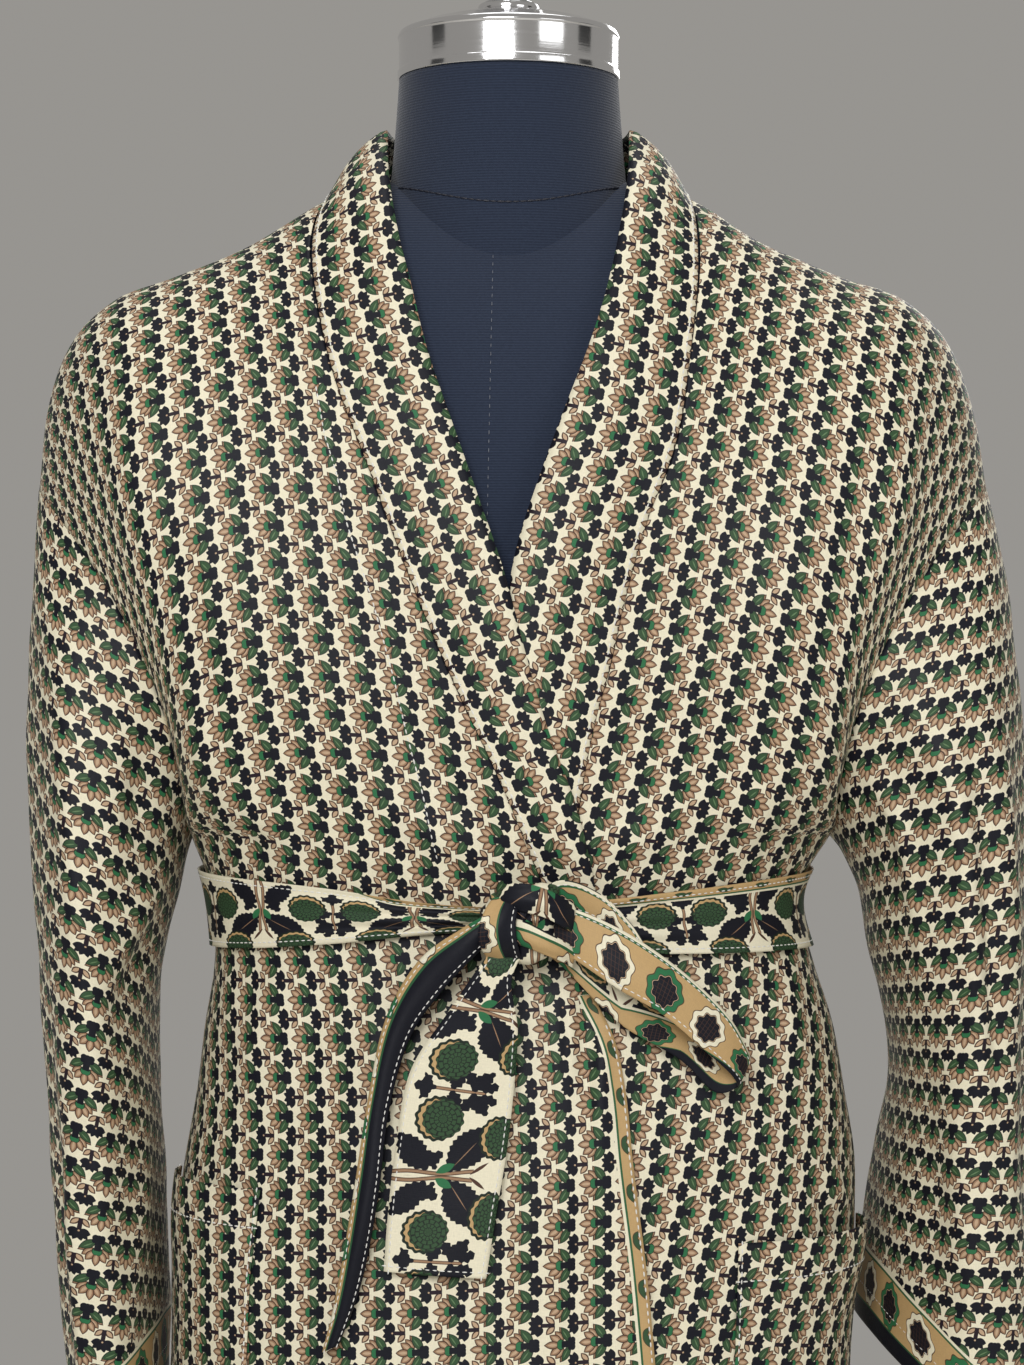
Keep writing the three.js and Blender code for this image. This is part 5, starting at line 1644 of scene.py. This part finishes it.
for name, (table, (from_edge, to_edge), material) in WRAPS.items():
    at, read = read_lines(table, 60)
    share = np.linspace(0, 1, 16)[None, :]
    crown = 2.0 * np.sin(math.pi * share) + 0.6 * np.sin(3 * math.pi * share + at)
    grid = np.stack(
        [
            lerp(read["ax"], read["bx"], share),
            knot_y - read["fore"] - crown,
            lerp(read["az"], read["bz"], share),
        ],
        -1,
    )
    normal = same_side(grid_normals(grid, np.broadcast_to([0.0, -1.0, 0.0], grid.shape)))
    run = lengths(grid, 0).mean(1, keepdims=True)
    places = edge_places(run + 12, lerp(from_edge, to_edge, share))
    piece = cloth(name, grid, grid + normal * 1.1, places, places, material)
    wrap_outers[name] = grid + normal * 1.1

# %% [markdown]
# ## Stitching by geometry nodes
# A line of topstitching is one short rounded stitch repeated along a path. The node tree takes a
# curve, drops a point at every pitch, puts a squashed ball on each point along the path's own
# direction, and makes them real, because the export drops instances.

# %% Stitch tree
STITCH = {"Pitch": 0.0042, "Length": 0.003, "Thickness": 0.0008}


def stitch_group():
    tree = bpy.data.node_groups.new("topstitching", "GeometryNodeTree")
    face = tree.interface
    face.new_socket("Geometry", in_out="INPUT", socket_type="NodeSocketGeometry")
    ids = {}
    for label, value in STITCH.items():
        socket = face.new_socket(label, in_out="INPUT", socket_type="NodeSocketFloat")
        socket.default_value = value
        ids[label] = socket.identifier
    thread = face.new_socket("Thread", in_out="INPUT", socket_type="NodeSocketMaterial")
    ids["Thread"] = thread.identifier
    face.new_socket("Geometry", in_out="OUTPUT", socket_type="NodeSocketGeometry")
    given, sink = tree.nodes.new("NodeGroupInput").outputs, tree.nodes.new("NodeGroupOutput")
    inputs = {"Curve": given["Geometry"], "Length": given["Pitch"]}
    points = add_node(tree, "GeometryNodeCurveToPoints", inputs, mode="LENGTH").outputs
    inputs = {"Segments": 6, "Rings": 4, "Radius": 0.5}
    ball = add_node(tree, "GeometryNodeMeshUVSphere", inputs)
    inputs = {"X": given["Thickness"], "Y": given["Thickness"], "Z": given["Length"]}
    size = add_node(tree, "ShaderNodeCombineXYZ", inputs)
    inputs = {"Geometry": ball.outputs["Mesh"], "Scale": size.outputs[0]}
    shape = add_node(tree, "GeometryNodeTransform", inputs)
    spread = add_node(tree, "FunctionNodeRandomValue", {2: 0.86, 3: 1.1, "Seed": 7})
    inputs = {"Points": points["Points"], "Instance": shape.outputs[0]}
    inputs |= {"Rotation": points["Rotation"], "Scale": spread.outputs[1]}
    copies = add_node(tree, "GeometryNodeInstanceOnPoints", inputs)
    real = add_node(tree, "GeometryNodeRealizeInstances", {"Geometry": copies.outputs[0]})
    even = add_node(tree, "GeometryNodeSetShadeSmooth", {"Geometry": real.outputs[0]})
    inputs = {"Geometry": even.outputs[0], "Material": given["Thread"]}
    paint = add_node(tree, "GeometryNodeSetMaterial", inputs)
    fill(tree, sink, {"Geometry": paint.outputs[0]})
    return tree, ids


stitch_tree, stitch_ids = stitch_group()
print("stitch tree:", len(stitch_tree.nodes), "nodes")

# %% Sew a set of lines


def thread_material(name, colour):
    material, tree, shader = new_material(name, colour)
    noise = add_node(tree, "ShaderNodeTexNoise", {"Vector": object_place(tree), "Scale": 900})
    darker = tuple(0.7 * part for part in colour[:3]) + (1,)
    twisted = mixed(tree, noise.outputs[0], colour, darker)
    fill(tree, shader, {"Base Color": twisted, "Roughness": 0.45})
    return material


def sew(name, lines, thread, slot, **sizes):
    """Stitches along lines of points in millimetres, as one plain mesh."""
    path = bpy.data.curves.new(name + " path", "CURVE")
    path.dimensions = "3D"
    for line in lines:
        spline = path.splines.new("POLY")
        spline.points.add(len(line) - 1)
        flat = np.concatenate([line * MM, np.ones((len(line), 1))], 1)
        spline.points.foreach_set("co", flat.ravel())
    carrier = bpy.data.objects.new(name + " path", path)
    scene.collection.objects.link(carrier)
    modifier = carrier.modifiers.new("topstitching", "NODES")
    modifier.node_group = stitch_tree
    for label, value in {**STITCH, **sizes}.items():
        modifier[stitch_ids[label]] = value
    modifier[stitch_ids["Thread"]] = thread
    graph = bpy.context.evaluated_depsgraph_get()
    mesh = bpy.data.meshes.new_from_object(carrier.evaluated_get(graph))
    bpy.data.objects.remove(carrier)
    show(name, mesh)


def inset(grid, distance, from_end=False):
    """The line of a grid at a distance in from one of its long edges."""
    across = lengths(grid, 1)
    want = across[:, -1] - distance if from_end else np.full(len(grid), float(distance))
    made = [[np.interp(w, a, row[:, n]) for n in range(3)] for w, a, row in zip(want, across, grid)]
    return np.array(made)


cream_thread = thread_material("cream thread", ink(248, 247, 242))
dark_thread = thread_material("dark thread", ink(38, 40, 52))
SECOND_LINE = columns(
    "x z",
    (-106, 1331), (-101, 1305), (-94, 1283), (-89, 1258), (-74, 1213), (-62, 1170), (-55, 1139),
    (-46.5, 1108), (-39, 1074),
)


def on_right_front(x, z):
    """Points on the outside of the right front."""
    u, level = locate(x, z)
    lift = lap_lift(sheet_point(ROBE, "front", u, level))
    p, normal = panel_grid("front", u, level, lift)
    return p + normal * THIN


SEWN_BELOW = 985  # height under which the fronts' edges are stitched
POCKET_HEM, ROBE_HEM, CUFF_HEM = 21.0, 18.0, 20.0
IN_FROM = {"collar": 2.6, "front": 1.6, "pocket": 2.0, "waist": 3.0, "bow": 2.6}
robe_lines = [inset(band_outer, IN_FROM["collar"])]
line_z = np.linspace(SECOND_LINE["z"][-1], SECOND_LINE["z"][0], 80)
line_x = np.interp(line_z, SECOND_LINE["z"][::-1], SECOND_LINE["x"][::-1])
robe_lines.append(on_right_front(line_x, line_z))
for outer in (right_outer, left_outer):
    below = outer[:, -1, 2] < SEWN_BELOW
    robe_lines.append(inset(outer, IN_FROM["front"], True)[below])
for outer in pocket_outers.values():
    upright = outer.swapaxes(0, 1)
    robe_lines += [inset(outer, IN_FROM["pocket"]), inset(outer, IN_FROM["pocket"], True)]
    robe_lines += [inset(upright, IN_FROM["pocket"]), inset(upright, POCKET_HEM, True)]
sew("robe_topstitching", robe_lines, cream_thread, "robe_print", Thickness=0.001)
hem_lines = []
for outer in (right_outer, left_outer, back_outer):
    hem_lines.append(inset(outer.swapaxes(0, 1), ROBE_HEM))
for outer in (sleeve_right_outer, sleeve_left_outer):
    ring = np.concatenate([outer, outer[:, :1]], 1)
    hem_lines.append(inset(ring.swapaxes(0, 1), CUFF_HEM, True))
sew("hem_stitching", hem_lines, cream_thread, "robe_print", Length=0.0024, Thickness=0.0005)
belt_lines = [inset(belt_outer, IN_FROM["waist"]), inset(belt_outer, IN_FROM["waist"], True)]
for outer in (loop_outer, band_back_outer, wide_outer, narrow_outer):
    belt_lines += [inset(outer, IN_FROM["bow"]), inset(outer, IN_FROM["bow"], True)]
belt_lines.append(inset(wide_outer.swapaxes(0, 1), IN_FROM["waist"], True))
belt_lines.append(inset(wrap_outers["knot_band"], 2.5, True))
sew("belt_topstitching", belt_lines, cream_thread, "belt_print", Pitch=0.0038, Length=0.0027)

# %% [markdown]
# ## The dress form
# The form is a padded shell covered with fine ribbed jersey. It shows in the collar's opening, at the neck
# and from below. Its surface is the same kind as the robe's, a little smaller, with flat plates where arms
# would be. The ribs are far finer than the mesh, so they are bump, read from the height. The same height
# paints shade into the colour of the rib troughs, and a noise mottles the yarn.

# %% Form sizes
RIDGE_GAP = 1.5
FORM_BOTTOM, NECK_TOP = 760, 1518
FORM = {
    "rings": columns(
        "z mid half front back power",
        (760, 0, 166, 112, 106, 2.3),
        (850, 0, 170, 112, 108, 2.3),
        (950, 0, 160, 104, 102, 2.3),
        (1045, 0, 152, 99, 98, 2.3),
        (1083, 0, 158, 108, 104, 2.3),
    ),
    "ridge": columns(
        "at right left z",
        (0, 0, 0, 1462 - RIDGE_GAP),
        (0.33, 76, 76, 1458 - RIDGE_GAP),
        (0.47, 107, 107, 1445 - RIDGE_GAP),
        (0.66, 150, 150, 1421 - RIDGE_GAP),
        (0.85, 195, 195, 1402 - RIDGE_GAP),
        (0.95, 217, 217, 1391 - RIDGE_GAP),
        (1, 224, 224, 1377),
    ),
    "gape": 52,
    "drift": 1.5,
}
NECK = columns(
    "z radius deep",
    (1400, 72, 64),
    (1440, 71, 64),
    (1462, 68, 63),
    (1490, 65.5, 62.5),
    (1518, 63.5, 62.5),
)


def neck_point(turn, z):
    """Points round the neck, a ring at each height."""
    radius, deep = (curve(NECK, "z", name, z) for name in ("radius", "deep"))
    return np.stack([radius * np.cos(turn), deep * np.sin(turn), z], -1)


print("form neck", NECK["radius"][-1] * 2, "mm across")

# %% Jersey material
RIB_PITCH = 0.00155  # metres from one rib to the next


def jersey_material():
    material, tree, shader = new_material("navy ribbed jersey", ink(30, 36, 50))
    spot = object_place(tree)
    up = Wire(tree, add_node(tree, "ShaderNodeSeparateXYZ", {0: spot}).outputs["Z"])
    rib = (up * (math.tau / RIB_PITCH)).math("SINE")
    noise = add_node(tree, "ShaderNodeTexNoise", {"Vector": spot, "Scale": 700})
    height = rib * 0.35 + Wire(tree, noise.outputs[0]) * 0.8
    share = (height * 0.5 + 0.15).math("MULTIPLY", 1.0, clamp=True)
    # Painted shade: the colour is darker where the rib height drops, in the troughs, and the noise mottles
    # the yarn.
    rib_shade_and_mottle = mixed(tree, share.socket, ink(24, 32, 50), ink(50, 62, 84))
    fill(tree, shader, {"Base Color": rib_shade_and_mottle, "Roughness": 0.85, "Sheen Weight": 0.25})
    fill(tree, shader, {"Specular IOR Level": 0.25})
    bump(tree, shader, height.socket, 0.0004)
    return material


jersey = jersey_material()


def loft(name, rings, material):
    """A closed body through rings of points, with a fan at each end."""
    rings = np.asarray(rings)
    last, count = len(rings) - 1, rings.shape[1]
    here = np.arange(count)
    after = (here + 1) % count
    start = np.arange(last)[:, None] * count
    sides = [start + here, start + after, start + count + after, start + count + here]
    faces = np.stack(sides, -1).reshape(-1, 4)
    points = np.concatenate([rings.reshape(-1, 3), rings[[0, last]].mean(1)])
    low_hub, high_hub = len(points) - 2, len(points) - 1
    fans = [[low_hub, b, a] for a, b in zip(here, after)]
    fans += [[high_hub, a, b] for a, b in zip(here + last * count, after + last * count)]
    listed = faces.tolist() + fans
    if not outward(points, faces):
        listed = [face[::-1] for face in listed]
    return add_mesh(name, points, listed, material)


# %% Torso and neck
u_row = -np.cos(math.pi * np.linspace(0, 1, 73)) * 0.5 + np.linspace(-0.5, 0.5, 73)
torso_levels = np.concatenate(
    [
        np.array([FORM_BOTTOM, FORM_BOTTOM + 3, FORM_BOTTOM + 10]) - UNDERARM,
        np.linspace(FORM_BOTTOM + 20 - UNDERARM, 0, 44, endpoint=False),
        np.linspace(0, 0.985, 60),
    ]
)
PLATE_STEPS = np.linspace(0, 1, 14)[1:-1]
FOOT_SHRINK, FOOT_ROUND = 0.03, 10


def plate(start, end, side):
    """Points across the flat plate where an arm would be, bowed out a little."""
    bulge = side * np.linalg.norm(end - start) / 14 * np.sin(math.pi * PLATE_STEPS)
    return lerp(start, end, PLATE_STEPS[:, None]) + bulge[:, None] * np.array([1, 0, 0])


torso_rings = []
for level in torso_levels:
    near_foot = max(0.0, 1 - (level - torso_levels[0]) / FOOT_ROUND)
    shrink = np.array([1 - FOOT_SHRINK * near_foot**2] * 2 + [1])
    front = sheet_point(FORM, "front", u_row, level) * shrink
    back = sheet_point(FORM, "back", -u_row, level) * shrink
    ring = [front, plate(front[-1], back[0], 1), back, plate(back[-1], front[0], -1)]
    torso_rings.append(np.concatenate(ring))
torso = loft("form_torso", torso_rings, jersey)
stands_for(torso, "form_body")

neck_turn = np.linspace(0, math.tau, 96, endpoint=False)
neck_heights = np.linspace(NECK["z"][0], NECK_TOP, 60)
neck = loft("form_neck", neck_point(*np.meshgrid(neck_turn, neck_heights)), jersey)

# %% Seams of the form
SEAM_FRONT, SEAM_SIDE = 1439, 1453
FRONT_SEAM = {"start": 1440, "top": 1434, "low": 1130}
seam_turn = np.linspace(math.pi * 1.02, math.pi * 1.98, 80)
seam_height = lerp(SEAM_SIDE, SEAM_FRONT, abs(np.sin(seam_turn)) ** 3)
neck_seam = neck_point(seam_turn, seam_height) * np.array([1.003, 1.003, 1])
seam_z = np.linspace(FRONT_SEAM["top"], FRONT_SEAM["low"], 90)
seam_x = lerp(-8.0, -12.0, (FRONT_SEAM["start"] - seam_z) / 200)
front_seam = np.stack([seam_x, front_y(seam_x, seam_z, FORM) - 0.25, seam_z], -1)
sew("form_neck_seam", [neck_seam], dark_thread, "form_jersey", Length=0.0048, Thickness=0.0012)
sew(
    "form_front_seam",
    [front_seam],
    thread_material("grey thread", ink(112, 116, 128)),
    "form_jersey",
    Pitch=0.005,
    Length=0.0026,
    Thickness=0.0006,
)

# %% [markdown]
# ## Cap, pole and base
# The neck ends in a polished steel cap with a turned knob, and the form stands on a pole in a round
# iron base. All of them are turned on a lathe, so a profile spun round the middle line makes each.
# Corners get a small radius, because a sharp corner never catches light.

# %% Metal finishes


def metal_material(name, colour, roughness, metallic, scratch, grain):
    material, tree, shader = new_material(name, colour)
    mapping = add_node(tree, "ShaderNodeMapping", {"Vector": object_place(tree), "Scale": grain})
    inputs = {"Vector": mapping.outputs[0], "Scale": 1.0, "Detail": 3.0}
    height = Wire(tree, add_node(tree, "ShaderNodeTexNoise", inputs).outputs[0])
    rough = (height * scratch + roughness).socket
    fill(tree, shader, {"Roughness": rough, "Base Color": colour, "Metallic": metallic})
    bump(tree, shader, height.socket, 0.00003)
    return material


chrome = metal_material("polished steel", (0.8, 0.8, 0.81, 1), 0.06, 1.0, 0.12, (30, 30, 900))
satin = metal_material("satin steel", (0.6, 0.6, 0.61, 1), 0.22, 1.0, 0.2, (60, 60, 700))
iron = metal_material("black enamelled iron", ink(42, 42, 45), 0.38, 0.0, 0.2, (160, 160, 160))


def spin(name, profile, segments, material, node):
    """A turned piece from its profile of (radius, height) pairs."""
    turn = np.linspace(0, math.tau, segments, endpoint=False)
    radius, height = np.array(profile, float).T[..., None]
    rings = np.stack(np.broadcast_arrays(radius * np.cos(turn), radius * np.sin(turn), height), -1)
    stands_for(loft(name, rings, material), node)


def rounded_profile(corners, radius=1.2, steps=5):
    """A profile of (radius, height) pairs with each inner corner replaced by a short curve."""
    points = [corners[0]]
    for before, here, after in zip(corners, corners[1:], corners[2:]):
        here = np.array(here, float)
        back, forth = np.array(before) - here, np.array(after) - here
        reach = min(radius, np.linalg.norm(back) / 2.2, np.linalg.norm(forth) / 2.2)
        start, end = here + unit(back) * reach, here + unit(forth) * reach
        for t in np.linspace(0, 1, steps):
            points.append(tuple((1 - t) ** 2 * start + 2 * t * (1 - t) * here + t * t * end))
    points.append(corners[-1])
    return points


CAP_RADIUS, CAP_BOTTOM = 64.5, NECK_TOP + SEAM
CAP_TOP = CAP_BOTTOM + 28
spin(
    "steel_cap",
    rounded_profile(
        [
            (1, CAP_BOTTOM), (CAP_RADIUS, CAP_BOTTOM), (CAP_RADIUS, CAP_BOTTOM + 4.5),
            (CAP_RADIUS - 0.8, CAP_BOTTOM + 5.3), (CAP_RADIUS - 0.8, CAP_TOP - 5),
            (CAP_RADIUS, CAP_TOP - 4), (CAP_RADIUS - 1, CAP_TOP - 1), (CAP_RADIUS - 4, CAP_TOP),
            (50, CAP_TOP + 4), (34, CAP_TOP + 8), (1, CAP_TOP + 10),
        ],
        0.9,
    ),
    160, chrome, "neck_cap",
)
KNOB_BOTTOM = CAP_TOP + 10 + SEAM
KNOB = (
    (1, 0), (18, 0), (18, 5), (12, 8), (12, 12), (21, 18), (24, 26), (21, 35), (12, 41), (1, 43),
)
spin(
    "cap_knob_turned",
    rounded_profile([(r, z + KNOB_BOTTOM) for r, z in KNOB], 3.0),
    96, chrome, "cap_knob",
)
HUB_TOP, POLE_RADIUS, BASE_RADIUS = 66, 17.5, 215
POLE_FOOT, POLE_TOP = HUB_TOP + SEAM, FORM_BOTTOM - SEAM
spin(
    "pole_tube",
    [(1, POLE_FOOT), (POLE_RADIUS, POLE_FOOT), (POLE_RADIUS, 420), (POLE_RADIUS, POLE_TOP), (1, POLE_TOP)],
    72, satin, "stand_pole",
)
spin(
    "base_casting",
    rounded_profile(
        [
            (1, 0), (BASE_RADIUS - 2, 0), (BASE_RADIUS, 2), (BASE_RADIUS, 9), (BASE_RADIUS - 3, 12),
            (60, 20), (32, 26), (26, 34), (26, HUB_TOP - 2), (24, HUB_TOP), (1, HUB_TOP),
        ],
        2.0,
    ),
    160, iron, "stand_base",
)

# %% [markdown]
# ## Floor and cards
# The floor is a plain pale disc, small enough to stay out of the main picture's background. The dark
# cards show only in what the steel mirrors, so the garment can be looked at from the sides too.

# %% Floor and cards


def stage_piece(name, colour, finish=()):
    """Name and paint the mesh that was just added, as part of the room."""
    piece = bpy.context.object
    piece.name = name
    material, tree, shader = new_material(name + " paint", colour)
    fill(tree, shader, {"Base Color": colour, **dict(finish)})
    piece.data.materials.append(material)
    return piece


bpy.ops.mesh.primitive_circle_add(vertices=96, radius=3.4, fill_type="NGON", location=(0, 0, 0))
stage_piece("floor", (0.72, 0.7, 0.66, 1), {"Roughness": 0.8})
for name, spot in (("left card", (-2.6, -0.6, 1.7)), ("right card", (2.6, -0.2, 1.7))):
    bpy.ops.mesh.primitive_plane_add(size=0.8, location=spot, rotation=(QUARTER, 0, QUARTER))
    stage_piece(name, (0.03, 0.03, 0.03, 1)).visible_camera = False

# %% [markdown]
# ## The last step
# The view layer is brought up to date, so that every piece stands where it was put.

# %% Update the view layer
bpy.context.view_layer.update()
